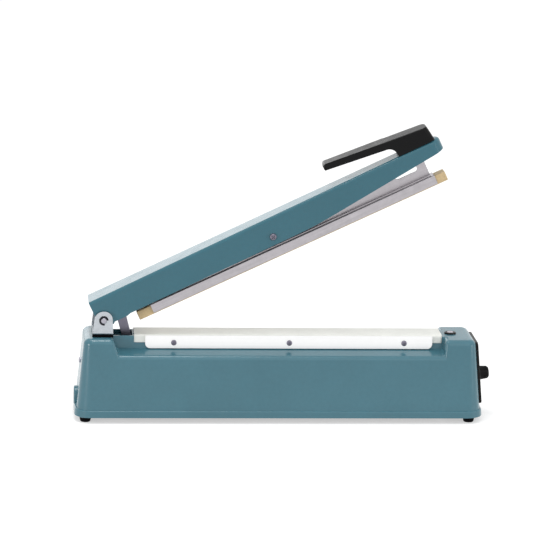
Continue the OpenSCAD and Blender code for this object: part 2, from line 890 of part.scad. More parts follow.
// Strap over the core with two feet on the bottom plate
module transformer_strap() {
    half = core_l / 2;
    top = plate_z + core_h;
    color(steel)
        difference() {
            along_y(-strap_w / 2, strap_w / 2)
                polygon([
                    [core_x - half - strap_foot, plate_z],
                    [core_x - half, plate_z],
                    [core_x - half, top],
                    [core_x + half, top],
                    [core_x + half, plate_z],
                    [core_x + half + strap_foot, plate_z],
                    [core_x + half + strap_foot, plate_z + strap_t],
                    [core_x + half + strap_t, plate_z + strap_t],
                    [core_x + half + strap_t, top + strap_t],
                    [core_x - half - strap_t, top + strap_t],
                    [core_x - half - strap_t, plate_z + strap_t],
                    [core_x - half - strap_foot, plate_z + strap_t]]);
            for (s = [-1, 1])
                translate([core_x + s * (half + strap_t + strap_foot / 2), 0, plate_z - past])
                    cylinder(d = pilot_d, h = strap_t + past * 2, $fn = round_fn);
        }
}

module strap_screws() {
    color(steel)
        for (s = [-1, 1])
            translate([core_x + s * (core_l / 2 + strap_t + strap_foot / 2), 0, plate_z + strap_t])
                pan_screw(strap_t + plate_t + past);
}

module switch_bezel() {
    color(black)
        translate([switch_x, 0, 0])
            difference() {
                union() {
                    translate([0, 0, base_h])
                        rotate_extrude($fn = round_fn)
                            polygon(rounded(
                                [[0, 0], [bezel_d / 2, 0], [bezel_d / 2, bezel_h], [0, bezel_h]],
                                [0, 0, bezel_h * 0.7, 0]));
                    translate([0, 0, barrel_low_z])
                        cylinder(d = barrel_d, h = base_h - barrel_low_z, $fn = round_fn);
                }
                translate([0, 0, barrel_low_z - past])
                    cylinder(d = button_d + run_gap * 2, h = base_h - barrel_low_z + bezel_h + past * 2,
                        $fn = round_fn);
            }
}

module switch_button() {
    top = base_h + button_proud;
    color(white)
        translate([switch_x, 0, 0])
            rotate_extrude($fn = round_fn)
                polygon(rounded(
                    [[0, barrel_low_z - button_flange_t],
                     [button_flange_d / 2, barrel_low_z - button_flange_t],
                     [button_flange_d / 2, barrel_low_z], [button_d / 2, barrel_low_z],
                     [button_d / 2, top], [0, top]],
                    [0, 0, 0, 0, 1, 0]));
}

module switch_body() {
    color(black)
        translate([switch_x - switch_len / 2, -switch_w / 2, switch_top_z - switch_h])
            cube([switch_len, switch_w, switch_h]);
}

// Hanger that holds the micro switch under the block's ceiling
module switch_bracket() {
    half = switch_len / 2;
    low = switch_top_z - switch_h;
    color(steel)
        along_y(-switch_strap_w / 2, switch_strap_w / 2)
            polygon([
                [switch_x - half - switch_strap_t, block_ceiling_z],
                [switch_x - half - switch_strap_t, low - switch_strap_t],
                [switch_x + half + switch_strap_t, low - switch_strap_t],
                [switch_x + half + switch_strap_t, block_ceiling_z],
                [switch_x + half, block_ceiling_z],
                [switch_x + half, low],
                [switch_x - half, low],
                [switch_x - half, block_ceiling_z]]);
}

module element_bed() {
    color(phenolic)
        difference() {
            along_x(bed_x0, bed_x1)
                polygon(rounded(
                    [[-bed_w / 2, base_h], [bed_w / 2, base_h], [bed_w / 2, bed_z], [-bed_w / 2, bed_z]],
                    [0, 0, bed_t * 0.8, bed_t * 0.8]));
            for (x = [bed_x0 + tail_in, bed_x1 - tail_in])
                translate([x - tail_slot / 2, -tail_w / 2, base_h - past])
                    cube([tail_slot, tail_w, bed_t + past * 2]);
        }
}

// Ribbon over the bed, with both ends turned down to the terminals
module heating_element() {
    x0 = bed_x0 + tail_in;
    x1 = bed_x1 - tail_in;
    low = block_ceiling_z;
    color(steel)
        along_y(-ribbon_w / 2, ribbon_w / 2)
            polygon([
                [x0 - ribbon_t / 2, ribbon_z],
                [x0 - ribbon_t / 2, low],
                [x0 + ribbon_t / 2, low],
                [x0 + ribbon_t / 2, bed_z],
                [x1 - ribbon_t / 2, bed_z],
                [x1 - ribbon_t / 2, low],
                [x1 + ribbon_t / 2, low],
                [x1 + ribbon_t / 2, ribbon_z]]);
}

// Terminal blocks under the ridge that hold the ends of the ribbon
module element_terminals() {
    color(brass)
        for (x = [bed_x0 + tail_in, bed_x1 - tail_in])
            translate([x - terminal_len / 2, -terminal_w / 2, block_ceiling_z - terminal_h])
                cube([terminal_len, terminal_w, terminal_h]);
}

module release_cloth() {
    low = cloth_z - skirt_h;
    in_half = cloth_half - cloth_t;
    in_z = cloth_z - cloth_t;
    in_r = cloth_bend_r - cloth_t;
    color(white)
        difference() {
            along_x(cloth_x0, cloth_x1)
                polygon(concat(
                    rounded(
                        [[-cloth_half, low], [-cloth_half, cloth_z],
                         [cloth_half, cloth_z], [cloth_half, low]],
                        [0, cloth_bend_r, cloth_bend_r, 0]),
                    rounded(
                        [[in_half, low], [in_half, in_z], [-in_half, in_z], [-in_half, low]],
                        [0, in_r, in_r, 0])));
            for (x = strip_screw_places)
                rod_y(x, strip_screw_z, pilot_d, -ridge_w, ridge_w);
        }
}

// Cloth strip on the side of +Y
module cloth_strip() {
    x0 = strip_mid - strip_len / 2;
    x1 = strip_mid + strip_len / 2;
    z1 = strip_z0 + strip_h;
    top_r = 1;
    difference() {
        along_y(strip_y, strip_y + strip_t)
            polygon(rounded(
                [[x0, strip_z0], [x1, strip_z0], [x1, z1], [x0, z1]],
                [strip_r, strip_r, top_r, top_r]));
        for (x = strip_screw_places)
            rod_y(x, strip_screw_z, pilot_d, 0, ridge_w);
    }
}

module front_cloth_strip() {
    color(white)
        mirror([0, 1, 0])
            cloth_strip();
}

module rear_cloth_strip() {
    color(white)
        cloth_strip();
}

module cloth_strip_screws() {
    color(steel)
        for (x = strip_screw_places, s = [-1, 1])
            translate([x, s * (strip_y + strip_t), strip_screw_z])
                rotate([-90 * s, 0, 0])
                    pan_screw(strip_y + strip_t - ridge_in);
}

module bracket_gasket() {
    color(black)
        difference() {
            translate([pivot_x - bracket_back, -ear_out, base_h])
                cube([bracket_back + bracket_front, ear_out * 2, gasket_t]);
            for (s = [-1, 1])
                translate([bracket_screw_x, s * bracket_screw_y, base_h - past])
                    cylinder(d = pilot_d, h = gasket_t + past * 2, $fn = round_fn);
        }
}

module hinge_bracket() {
    ear = rounded(
        [[pivot_x - bracket_back, gasket_z], [pivot_x + bracket_front, gasket_z],
         [pivot_x + ear_back, pivot_z + ear_top], [pivot_x - ear_back, pivot_z + ear_top]],
        [0, 0, ear_r, ear_r]);
    color(steel)
        difference() {
            union() {
                translate([pivot_x - bracket_back, -ear_out, gasket_z])
                    cube([bracket_back + bracket_front, ear_out * 2, ear_t]);
                for (s = [0, 1])
                    mirror([0, s, 0])
                        along_y(ear_gap / 2, ear_out)
                            polygon(ear);
            }
            rod_y(pivot_x, pivot_z, pin_d + run_gap * 2, -base_w, base_w);
            for (s = [-1, 1])
                translate([bracket_screw_x, s * bracket_screw_y, gasket_z - past])
                    cylinder(d = pilot_d, h = ear_t + past * 2, $fn = round_fn);
        }
}

module bracket_screws() {
    color(steel)
        for (s = [-1, 1])
            translate([bracket_screw_x, s * bracket_screw_y, bracket_z])
                pan_screw(ear_t + gasket_t + wall_t);
}

module hinge_pin() {
    color(steel)
        rod_y(pivot_x, pivot_z, pin_d, -pin_half, pin_half);
}

// Open clip pressed on each end of the pin
module pin_clips() {
    mouth = pin_d * 0.7;
    color(dark_steel)
        for (s = [-1, 1])
            translate([0, s * (ear_out + seat_gap + clip_t / 2), 0])
                difference() {
                    rod_y(pivot_x, pivot_z, clip_d, -clip_t / 2, clip_t / 2);
                    rod_y(pivot_x, pivot_z, pin_d + run_gap * 2, -clip_t, clip_t);
                    translate([pivot_x, -clip_t, pivot_z - mouth / 2])
                        rotate([0, 35, 0])
                            cube([clip_d, clip_t * 2, mouth]);
                }
}

module hinge_washers() {
    t = ear_gap / 2 - arm_half(-washer_d / 2) - seat_gap * 2;
    y = ear_gap / 2 - seat_gap - t;
    color(white)
        for (s = [0, 1])
            mirror([0, s, 0])
                difference() {
                    rod_y(pivot_x, pivot_z, washer_d, y, y + t);
                    rod_y(pivot_x, pivot_z, pin_d + run_gap * 2, y - past, y + t + past);
                }
}

// Points of the spring wire: long end curls that hook in, and even curls between them
function spring_advance(turns) =
    let (inner = (anchor_hook_x - hook_x - hook_reach * 2) / (spring_turns - 2))
    turns <= 1 ? turns * hook_reach
        : turns >= spring_turns - 1
            ? hook_reach + inner * (spring_turns - 2) + (turns - spring_turns + 1) * hook_reach
            : hook_reach + inner * (turns - 1);
spring_path = [for (i = [-1 : spring_turns * curl_rings + 1])
    let (t = i / curl_rings)
    [hook_x + spring_advance(t), coil_r * sin(360 * t), hook_z - coil_r + coil_r * cos(360 * t)]];
spring_self_gap = min([for (i = [0 : len(spring_path) - 1], j = [i + curl_rings / 2 : len(spring_path) - 1])
    norm(spring_path[i] - spring_path[j])]) - wire_d;
echo(spring_self_gap = spring_self_gap);

// Round wire of a few sides along the points of a path
module wire(path, d, sides, axis) {
    last = len(path) - 1;
    rings = [for (i = [0 : last])
        let (
            ahead = unit(path[min(i + 1, last)] - path[max(i - 1, 0)]),
            across = unit(cross(ahead, axis)),
            up = cross(across, ahead)
        )
        [for (k = [0 : sides - 1])
            path[i] + d / 2 * (across * cos(360 * k / sides) + up * sin(360 * k / sides))]];
    points = [for (ring = rings) each ring];
    skin = [for (i = [0 : last - 1], k = [0 : sides - 1])
        let (a = i * sides + k, b = i * sides + (k + 1) % sides)
        each [[a, b, b + sides], [a, b + sides, a + sides]]];
    near_cap = [for (k = [1 : sides - 2]) [0, k + 1, k]];
    far_cap = [for (k = [1 : sides - 2]) [last * sides, last * sides + k, last * sides + k + 1]];
    polyhedron(points, concat(skin, near_cap, far_cap));
}

module return_spring() {
    color(steel)
        wire(spring_path, wire_d, wire_sides, [1, 0, 0]);
}

module spring_anchor() {
    color(steel)
        difference() {
            union() {
                translate([anchor_x - anchor_w / 2, -anchor_t / 2, anchor_low_z])
                    cube([anchor_w, anchor_t, block_ceiling_z - anchor_low_z]);
                translate([anchor_x - anchor_w / 2, -anchor_top_w / 2, block_ceiling_z - anchor_top_t])
                    cube([anchor_w * 2, anchor_top_w, anchor_top_t]);
            }
            rod_y(anchor_hook_x, hook_z, hook_d, -anchor_t, anchor_t);
        }
}

module anchor_screw() {
    color(steel)
        translate([anchor_x, 0, base_h - screw_head_h])
            pan_screw(wall_t - screw_head_h);
}

// Outer or inner form of the arm, inset by the sheet
module arm_form(inset) {
    half = arm_w0 / 2 - inset;
    top = arm_top - inset;
    edge = max(arm_edge - inset, 0.5);
    slice = 0.2;
    start = inset > 0 ? arm_u0 - past : arm_u0;
    hull() {
        for (s = [-1, 1])
            translate([start, s * (half - edge), top - edge])
                rotate([0, 90, 0])
                    cylinder(r = edge, h = slice, $fn = 32);
        translate([start, -half, arm_low])
            cube([slice, half * 2, slice]);
        translate([tip_u, 0, 0])
            rotate_extrude($fn = round_fn)
                polygon(rounded(
                    [[0, arm_low], [tip_r - inset, arm_low], [tip_r - inset, top], [0, top]],
                    [0, 0, edge, 0]));
    }
}

// Side outline of the arm with its hinge lobe and rising flange
arm_side = rounded(
    [[arm_u0, lobe_low], [lobe_u1, lobe_low], [lobe_u1 + 2, lobe_v], [notch_u0, lobe_v],
     [notch_u1, flange_v], [arm_bend, flange_v], [arm_reach + past, tip_v],
     [arm_reach + past, arm_top + past], [arm_u0, arm_top + past]],
    [lobe_r, 1, 0, 0, 0, bend_r, 0, 0, 0]);

module arm_shell() {
    color(paint)
        on_arm()
            difference() {
                intersection() {
                    arm_form(0);
                    along_y(-arm_w0, arm_w0)
                        polygon(arm_side);
                }
                arm_form(arm_t);
                rod_y(0, 0, pin_d + run_gap * 2, -arm_w0, arm_w0);
                rod_y(bolt_u, bolt_v, bolt_d + run_gap * 2, -arm_w0, arm_w0);
                for (s = [-1, 1])
                    translate([handle_screw_u, s * handle_screw_y, arm_in_top - past])
                        cylinder(d = pilot_d, h = arm_t + past * 2, $fn = round_fn);
            }
}

module lift_tongue() {
    half = tongue_w / 2;
    color(steel)
        on_arm()
            difference() {
                along_y(-tongue_t / 2, tongue_t / 2)
                    polygon(rounded(
                        [[tongue_at(tongue_low) - half, tongue_low],
                         [tongue_at(tongue_low) + half, tongue_low],
                         [tongue_at(arm_in_top) + half, arm_in_top],
                         [tongue_at(arm_in_top) - half, arm_in_top]],
                        [tongue_r, tongue_r, 0, 0]));
                rod_y(hook_u, hook_v, hook_d, -tongue_t, tongue_t);
            }
}

module handle() {
    side = rounded(
        [[grip_u0, grip_v0], [block_u0 - 1.5, grip_v1], [block_u0, arm_top], [block_u1, arm_top],
         [block_u1 - grip_back, grip_top_v1], [grip_u0 + 2, grip_top_v0]],
        [1.5, grip_root_r, 0, 0, 2.5, 2]);
    plan = rounded(
        [[grip_u0 - past, -grip_w0 / 2], [block_u0, -grip_w1 / 2], [block_u1 + past, -grip_w1 / 2],
         [block_u1 + past, grip_w1 / 2], [block_u0, grip_w1 / 2], [grip_u0 - past, grip_w0 / 2]],
        [grip_nose_r, grip_flank_r, grip_corner_r, grip_corner_r, grip_flank_r, grip_nose_r]);
    color(black)
        on_arm()
            difference() {
                intersection() {
                    along_y(-grip_w1, grip_w1)
                        polygon(side);
                    translate([0, 0, arm_top])
                        linear_extrude(grip_top_v0)
                            polygon(plan);
                }
                for (s = [-1, 1])
                    translate([handle_screw_u, s * handle_screw_y, arm_top - past])
                        cylinder(d = pilot_d, h = handle_screw_len + past, $fn = round_fn);
            }
}

module handle_screws() {
    color(steel)
        on_arm()
            for (s = [-1, 1])
                translate([handle_screw_u, s * handle_screw_y, arm_in_top])
                    rotate([180, 0, 0])
                        pan_screw(arm_t + handle_screw_len - past);
}

module pivot_bolt() {
    head_y = bolt_y + bolt_seat;
    color(steel)
        on_arm() {
            rod_y(bolt_u, bolt_v, bolt_d, -head_y, head_y + nut_h + past);
            translate([bolt_u, -head_y, bolt_v])
                rotate([90, 0, 0])
                    rotate_extrude($fn = round_fn)
                        polygon(rounded(
                            [[0, 0], [bolt_head_d / 2, 0], [bolt_head_d / 2, bolt_head_h],
                             [0, bolt_head_h]],
                            [0, 0, bolt_head_h * 0.7, 0]));
        }
}

module pivot_nut() {
    color(steel)
        on_arm()
            translate([bolt_u, bolt_y + bolt_seat + nut_h, bolt_v])
                rotate([90, 0, 0])
                    difference() {
                        cylinder(d = nut_d, h = nut_h, $fn = 6);
                        translate([0, 0, -past])
                            cylinder(d = bolt_d + run_gap * 2, h = nut_h + past * 2, $fn = round_fn);
                    }
}

// Sleeves on the bolt that keep the carrier in the middle of the arm
module pivot_spacers() {
    y0 = web_t / 2 + spacer_gap;
    y1 = bolt_y - arm_t - spacer_gap;
    color(steel)
        on_arm()
            for (s = [0, 1])
                mirror([0, s, 0])
                    difference() {
                        rod_y(bolt_u, bolt_v, spacer_d, y0, y1);
                        rod_y(bolt_u, bolt_v, bolt_d + run_gap * 2, y0 - past, y1 + past);
                    }
}

// Carrier web that hangs on the bolt, with its foot on the channel
module bar_carrier() {
    color(steel)
        on_bar()
            difference() {
                union() {
                    along_y(-web_t / 2, web_t / 2)
                        polygon(rounded(
                            [[web_u0, channel_v1], [web_u1, channel_v1], [web_u1, web_v], [web_u0, web_v]],
                            [0, 0, 2, 4]));
                    translate([web_u0, -web_foot_w / 2, channel_v1])
                        cube([web_u1 - web_u0, web_foot_w, web_foot_t]);
                }
                along_y(-web_t, web_t)
                    polygon(round_box(slot_u0, slot_u1, slot_v0, slot_v1, slot_r));
                rod_y(bar_bolt_u, bar_bolt_v, bolt_d + run_gap * 2, -web_t, web_t);
            }
}

module bar_channel() {
    half = channel_w / 2;
    color(steel)
        on_bar()
            along_x(channel_u0, channel_u1)
                polygon(concat(
                    rounded(
                        [[-half, channel_v0], [-half, channel_v1], [half, channel_v1], [half, channel_v0]],
                        [0, channel_t, channel_t, 0]),
                    [[half - channel_t, channel_v0], [half - channel_t, channel_v1 - channel_t],
                     [channel_t - half, channel_v1 - channel_t], [channel_t - half, channel_v0]]));
}

module silicone_strip() {
    top = channel_v1 - channel_t;
    color(tan_rubber)
        on_bar()
            along_x(rubber_u0, rubber_u1)
                polygon(rounded(
                    [[-rubber_w / 2, rubber_v], [rubber_w / 2, rubber_v], [rubber_w / 2, top],
                     [-rubber_w / 2, top]],
                    [1, 1, 0.5, 0.5]));
}

module timer_knob() {
    base = panel_t + knob_gap;
    bore = knob_len - knob_cap;
    color(black)
        on_right_wall(knob_z)
            translate([0, 0, base])
                difference() {
                    rotate_extrude($fn = round_fn)
                        polygon(rounded(
                            [[0, 0], [knob_d / 2, 0], [knob_d / 2 - 1, knob_len], [0, knob_len]],
                            [0, 0.8, 2.5, 0]));
                    translate([0, 0, -past])
                        cylinder(d = knob_hollow_d, h = knob_hollow + past, $fn = round_fn);
                    translate([0, 0, -past])
                        cylinder(d = shaft_d + run_gap * 2, h = bore + past, $fn = round_fn);
                }
}

module knob_shaft() {
    base = panel_t + knob_gap;
    color(steel)
        on_right_wall(knob_z)
            translate([0, 0, -wall_t - shaft_in + seat_gap])
                cylinder(d = shaft_d, h = wall_t + shaft_in + base + knob_len - knob_cap - seat_gap * 2,
                    $fn = round_fn);
}

base_housing();
bottom_plate();
bottom_screws();
rubber_feet();
cord_gland();
end_screw();
control_panel();
indicator_lamp();
timer_pot();
pot_nut();
timer_board();
board_parts();
transformer_core();
transformer_coil();
transformer_strap();
strap_screws();
switch_bezel();
switch_body();
switch_bracket();
element_bed();
heating_element();
element_terminals();
release_cloth();
front_cloth_strip();
rear_cloth_strip();
cloth_strip_screws();
bracket_gasket();
hinge_bracket();
bracket_screws();
hinge_pin();
pin_clips();
hinge_washers();
return_spring();
spring_anchor();
anchor_screw();
arm_shell();
lift_tongue();
handle();
handle_screws();
pivot_bolt();
pivot_nut();
pivot_spacers();
bar_carrier();
bar_channel();
silicone_strip();
switch_button();
timer_knob();
knob_shaft();
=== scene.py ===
import json
import math

import bmesh
import bpy
from bpy.props import FloatProperty, FloatVectorProperty, PointerProperty
from bpy.types import Operator, Panel, PropertyGroup
from mathutils import Color, Matrix, Quaternion, Vector


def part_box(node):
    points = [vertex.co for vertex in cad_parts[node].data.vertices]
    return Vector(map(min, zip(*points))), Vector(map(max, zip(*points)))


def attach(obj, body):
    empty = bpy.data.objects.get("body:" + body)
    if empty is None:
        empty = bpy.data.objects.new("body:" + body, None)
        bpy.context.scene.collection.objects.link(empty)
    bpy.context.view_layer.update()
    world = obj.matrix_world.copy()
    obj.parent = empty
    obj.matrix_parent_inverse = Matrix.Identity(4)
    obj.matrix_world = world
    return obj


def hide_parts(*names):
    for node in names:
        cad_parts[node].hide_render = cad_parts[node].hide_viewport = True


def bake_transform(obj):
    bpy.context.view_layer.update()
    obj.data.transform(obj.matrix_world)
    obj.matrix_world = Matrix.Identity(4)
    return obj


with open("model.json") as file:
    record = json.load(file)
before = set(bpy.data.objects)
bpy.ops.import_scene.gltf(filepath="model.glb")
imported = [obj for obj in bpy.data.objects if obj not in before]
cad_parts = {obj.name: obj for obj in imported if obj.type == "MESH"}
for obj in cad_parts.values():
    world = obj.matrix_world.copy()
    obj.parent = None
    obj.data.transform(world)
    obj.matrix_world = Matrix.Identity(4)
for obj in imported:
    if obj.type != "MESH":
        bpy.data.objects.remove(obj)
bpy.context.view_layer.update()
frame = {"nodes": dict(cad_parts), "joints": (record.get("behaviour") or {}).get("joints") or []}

bl_info = {
    "name": "Hand Impulse Sealer",
    "version": (1, 0, 0),
    "blender": (4, 5, 0),
    "location": "View3D > Sidebar > Sealer",
    "description": "Dresses the frame of a hand impulse sealer piece by piece",
    "category": "Object",
}

# Frame

JOINTS = {joint["name"]: joint for joint in frame["joints"]}
MM = 0.001
TINY = 1e-5
MERGE = 1e-7
FULL_TURN = 2 * math.pi
X, Y, Z = Vector((1, 0, 0)), Vector((0, 1, 0)), Vector((0, 0, 1))
PIVOT = Vector(JOINTS["arm_hinge"]["pos_m"])
CLOSED_ANGLE = math.radians(1.75)
ARM_ANGLE = CLOSED_ANGLE + math.radians(JOINTS["arm_hinge"]["range_deg"][1])
BAR_ANGLE = math.radians(JOINTS["arm_hinge"]["range_deg"][1] + JOINTS["bar_rock"]["range_deg"][1])
ARM = Matrix.Translation(PIVOT) @ Matrix.Rotation(-ARM_ANGLE, 4, "Y")
BAR = Matrix.Translation(PIVOT) @ Matrix.Rotation(-BAR_ANGLE, 4, "Y")


def middle_of(name, axis):
    """Middle of a node's box along an axis."""
    return sum(corner[axis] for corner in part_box(name)) / 2


# Settings


def length(value, name, description):
    """Property in metres for a size given in millimetres."""
    return FloatProperty(name=name, description=description, default=value * MM, unit="LENGTH", precision=5)


def angle(value, name, description):
    """Property for an angle given in degrees."""
    return FloatProperty(name=name, description=description, default=math.radians(value), subtype="ANGLE")


def tint(value, name, description):
    """Property for a colour as it looks on a screen."""
    return FloatVectorProperty(
        name=name, description=description, default=value, size=3, min=0, max=1, subtype="COLOR_GAMMA"
    )


class SealerHousing(PropertyGroup):
    """Sizes of the base"""

    rim_height: length(7.5, "Rim height", "Height of the stepped rim round the foot")
    rim_end: length(2.5, "Rim at the ends", "How far the rim stands out at the ends")
    rim_side: length(2.0, "Rim at the sides", "How far the rim stands out at the sides")
    wall_lean: length(7.5, "Wall lean", "How far each wall leans in from rim to top")
    corner_radius: length(16.5, "Corner radius", "Radius of the upright corners at the foot")
    wall: length(3.0, "Wall", "Thickness of the moulded wall")
    saddle_left: length(-180.5, "Saddle left", "Left end of the ledge")
    saddle_right: length(172.5, "Saddle right", "Right end of the ledge")
    saddle_drop: length(18.0, "Saddle drop", "Depth of the ledge under the end blocks")
    ledge_rise: length(4.0, "Ledge rise", "Rise of the ledge from wall to ridge")
    left_slope: length(7.0, "Left slope", "Run of the slope on the hinge block")
    right_slope: length(1.5, "Right slope", "Run of the slope on the panel block")
    ridge_width: length(32.0, "Ridge width", "Width of the ridge under the sealing bed")
    block_edge: length(6.0, "Block edge", "Radius of the top edges of the end blocks")
    saddle_edge: length(4.0, "Saddle edge", "Radius of the edges of the saddle")


class SealerArm(PropertyGroup):
    """Sizes of the arm and the pressure bar, along and up from the hinge pin"""

    back: length(-6.8, "Back end", "Back end of the arm from the pin")
    reach: length(410.0, "Reach", "Tip of the arm from the pin")
    back_width: length(42.0, "Back width", "Width at the hinge")
    tip_width: length(26.0, "Tip width", "Width at the tip")
    top: length(24.0, "Top", "Height of the top over the pin")
    sheet: length(2.0, "Sheet", "Thickness of the pressed sheet")
    edge: length(3.5, "Edge", "Radius of the pressed top edge")
    bolt_along: length(203.0, "Bolt place", "Place of the bar's bolt along the arm")
    bolt_up: length(3.5, "Bolt height", "Height of the bar's bolt over the pin")


class SealerColours(PropertyGroup):
    """Colours of the finishes"""

    base: tint((0.258, 0.436, 0.488), "Base paint", "Blue enamel of the base")
    # Painted shade: the arm's enamel is the base enamel made darker, standing for the shade on the arm's
    # flanks.
    arm: tint((0.185, 0.385, 0.44), "Arm paint", "Blue enamel of the arm")
    steel: tint((0.66, 0.655, 0.69), "Plated steel", "Zinc plated steel")
    bright: tint((0.73, 0.75, 0.77), "Bright steel", "Bright zinc of the hinge bracket")
    # Grey steel is the own colour of the screws and bolt; on the tongue its darkness is also painted shade,
    # for the shadow the tongue sits in.
    grey: tint((0.47, 0.46, 0.51), "Grey steel", "Bare steel of the tongue and screws")
    oxide: tint((0.17, 0.17, 0.19), "Dark steel", "Blackened steel")
    bar: tint((0.70, 0.685, 0.70), "Bar aluminium", "Anodised extrusion of the pressure bar")
    strip: tint((0.935, 0.935, 0.935), "Strip aluminium", "Bright clamping strips")
    plastic: tint((0.035, 0.035, 0.04), "Black plastic", "Moulded handle, panel and knob")
    button: tint((0.7, 0.68, 0.71), "White plastic", "Switch button and dial print")
    rubber: tint((0.025, 0.025, 0.035), "Rubber", "Feet and gasket")
    silicone: tint((0.78, 0.69, 0.53), "Silicone", "Pressure strip")
    cloth: tint((0.88, 0.885, 0.865), "Release cloth", "Coated glass cloth")
    phenolic: tint((0.42, 0.27, 0.15), "Phenolic", "Board under the heating ribbon")
    copper: tint((0.72, 0.40, 0.22), "Copper", "Transformer winding")
    brass: tint((0.82, 0.67, 0.33), "Brass", "Terminals")
    board: tint((0.10, 0.36, 0.20), "Board", "Timer board")
    lamp: tint((0.75, 0.05, 0.04), "Lamp", "Indicator lens")


class SealerStage(PropertyGroup):
    """Camera place"""

    azimuth: angle(-5.5, "Azimuth", "Camera place round the sealer")
    elevation: angle(13.0, "Elevation", "Camera height over the bench")
    roll: angle(1.54, "Roll", "Turn of the camera about its view")
    distance: FloatProperty(name="Distance", description="Camera to target", default=3.2, unit="LENGTH")
    lens: FloatProperty(name="Lens", description="Focal length", default=189.45, unit="CAMERA")
    target: FloatVectorProperty(
        name="Target", description="Middle of the picture", default=(-0.0058, 0.0, 0.15), subtype="XYZ"
    )


class SealerSettings(PropertyGroup):
    """All settings of the sealer"""

    housing: PointerProperty(type=SealerHousing)
    arm: PointerProperty(type=SealerArm)
    colours: PointerProperty(type=SealerColours)
    stage: PointerProperty(type=SealerStage)


def settings():
    """Settings of the open scene."""
    return bpy.context.scene.sealer


# Finishes


def linear(colour, share):
    """Screen colour as a shader colour, a share darker or lighter."""
    made = Color(colour).from_srgb_to_scene_linear()
    return (*(min(part * share, 1) for part in made), 1)


def feed(tree, target, inputs):
    """Set or link inputs of a shader node."""
    for name, value in inputs.items():
        if isinstance(value, bpy.types.NodeSocket):
            tree.links.new(value, target.inputs[name])
        else:
            target.inputs[name].default_value = value


def node(tree, kind, inputs, **choices):
    """Add a shader node with its choices and inputs, and give its first output."""
    made = tree.nodes.new("ShaderNode" + kind)
    for name, value in choices.items():
        setattr(made, name, value)
    feed(tree, made, inputs)
    return made.outputs[0]


class Finish:
    """One procedural finish on Object coordinates."""

    START, END = 0.3, 0.7

    def __init__(self, name):
        self.material = bpy.data.materials.new(name)
        self.material.use_nodes = True
        self.tree = self.material.node_tree
        self.shader = self.tree.nodes["Principled BSDF"]
        self.place = self.tree.nodes.new("ShaderNodeTexCoord").outputs["Object"]

    def shade(self, inputs):
        """Set or link inputs of the surface."""
        feed(self.tree, self.shader, inputs)

    def add(self, kind, inputs, **choices):
        return node(self.tree, kind, inputs, **choices)

    def grain(self, size, detail=2.0):
        """Noise of one grain size."""
        return self.add("TexNoise", {"Vector": self.place, "Scale": 1 / size, "Detail": detail})

    def streaks(self, stretch, turn=(0, 0, 0), detail=3.0):
        """Noise on Object coordinates that are turned and then stretched."""
        turned = self.add("Mapping", {"Vector": self.place, "Rotation": turn})
        place = self.add("Mapping", {"Vector": turned, "Scale": stretch})
        return self.add("TexNoise", {"Vector": place, "Scale": 1.0, "Detail": detail})

    def bands(self, period, along):
        """Even bands of one period along an axis."""
        scale = FULL_TURN / 20 / period
        return self.add("TexWave", {"Vector": self.place, "Scale": scale}, bands_direction=along)

    def math(self, operation, first, second):
        return self.add("Math", {0: first, 1: second}, operation=operation)

    def mix(self, first, second, share):
        """Weighted sum of two values, the second by its share."""
        return self.math("ADD", self.math("MULTIPLY", first, 1 - share), self.math("MULTIPLY", second, share))

    def colour(self, value, colour, dark, light, start=START, end=END):
        """Base colour that runs from dark to light shares with the value."""
        ramp = self.tree.nodes.new("ShaderNodeValToRGB")
        for stop, place, share in zip(ramp.color_ramp.elements, (start, end), (dark, light)):
            stop.position, stop.color = place, linear(colour, share)
        feed(self.tree, ramp, {"Fac": value})
        self.shade({"Base Color": ramp.outputs["Color"]})

    def rough(self, value, low, high):
        """Roughness that runs from low to high with the value."""
        spread = {"From Min": self.START, "From Max": self.END, "To Min": low, "To Max": high}
        self.shade({"Roughness": self.add("MapRange", {"Value": value, **spread})})

    def relief(self, value, depth, strength):
        """Fine relief that follows the value."""
        self.shade({"Normal": self.add("Bump", {"Height": value, "Distance": depth, "Strength": strength})})


def paint(finish, colour):
    """Satin enamel with a fine orange peel and slight clouding."""
    finish.shade({"Coat Weight": 0.15, "Coat Roughness": 0.12, "Specular IOR Level": 0.4})
    cloud = finish.mix(finish.grain(0.06), finish.grain(0.004, 3.0), 0.35)
    finish.colour(cloud, colour, 0.93, 1.06)
    finish.rough(finish.grain(0.012, 3.0), 0.18, 0.27)
    finish.relief(finish.grain(0.0011, 1.0), 0.00004, 0.35)


def metal(finish, colour, low, high, turn=(0, 0, 0), stretch=(25, 900, 900), dark=0.84, light=1.08):
    """Metal with fine drawn lines and patchy plating."""
    finish.shade({"Metallic": 1.0})
    lines, patch = finish.streaks(stretch, turn), finish.grain(0.006, 3.0)
    finish.colour(finish.mix(lines, patch, 0.5), colour, dark, light)
    finish.rough(finish.mix(lines, patch, 0.6), low, high)
    finish.relief(lines, 0.00001, 0.25)


def laminated_core(finish, colour):
    """Stack of thin core sheets, seen edge on."""
    finish.shade({"Metallic": 1.0})
    sheets, patch = finish.bands(0.0007, "Y"), finish.grain(0.005, 3.0)
    finish.colour(finish.mix(sheets, patch, 0.5), colour, 0.6, 2.2)
    finish.rough(patch, 0.4, 0.6)
    finish.relief(sheets, 0.00006, 0.6)


def plastic(finish, colour, grain, low, high, depth=0.00005, shine=0.5):
    """Moulded plastic or rubber with a fine leathery grain."""
    finish.shade({"Specular IOR Level": shine})
    pores = finish.grain(grain, 3.0)
    finish.colour(finish.mix(finish.grain(0.02), pores, 0.5), colour, 0.86, 1.16)
    finish.rough(finish.grain(0.008, 3.0), low, high)
    finish.relief(pores, depth, 0.4)


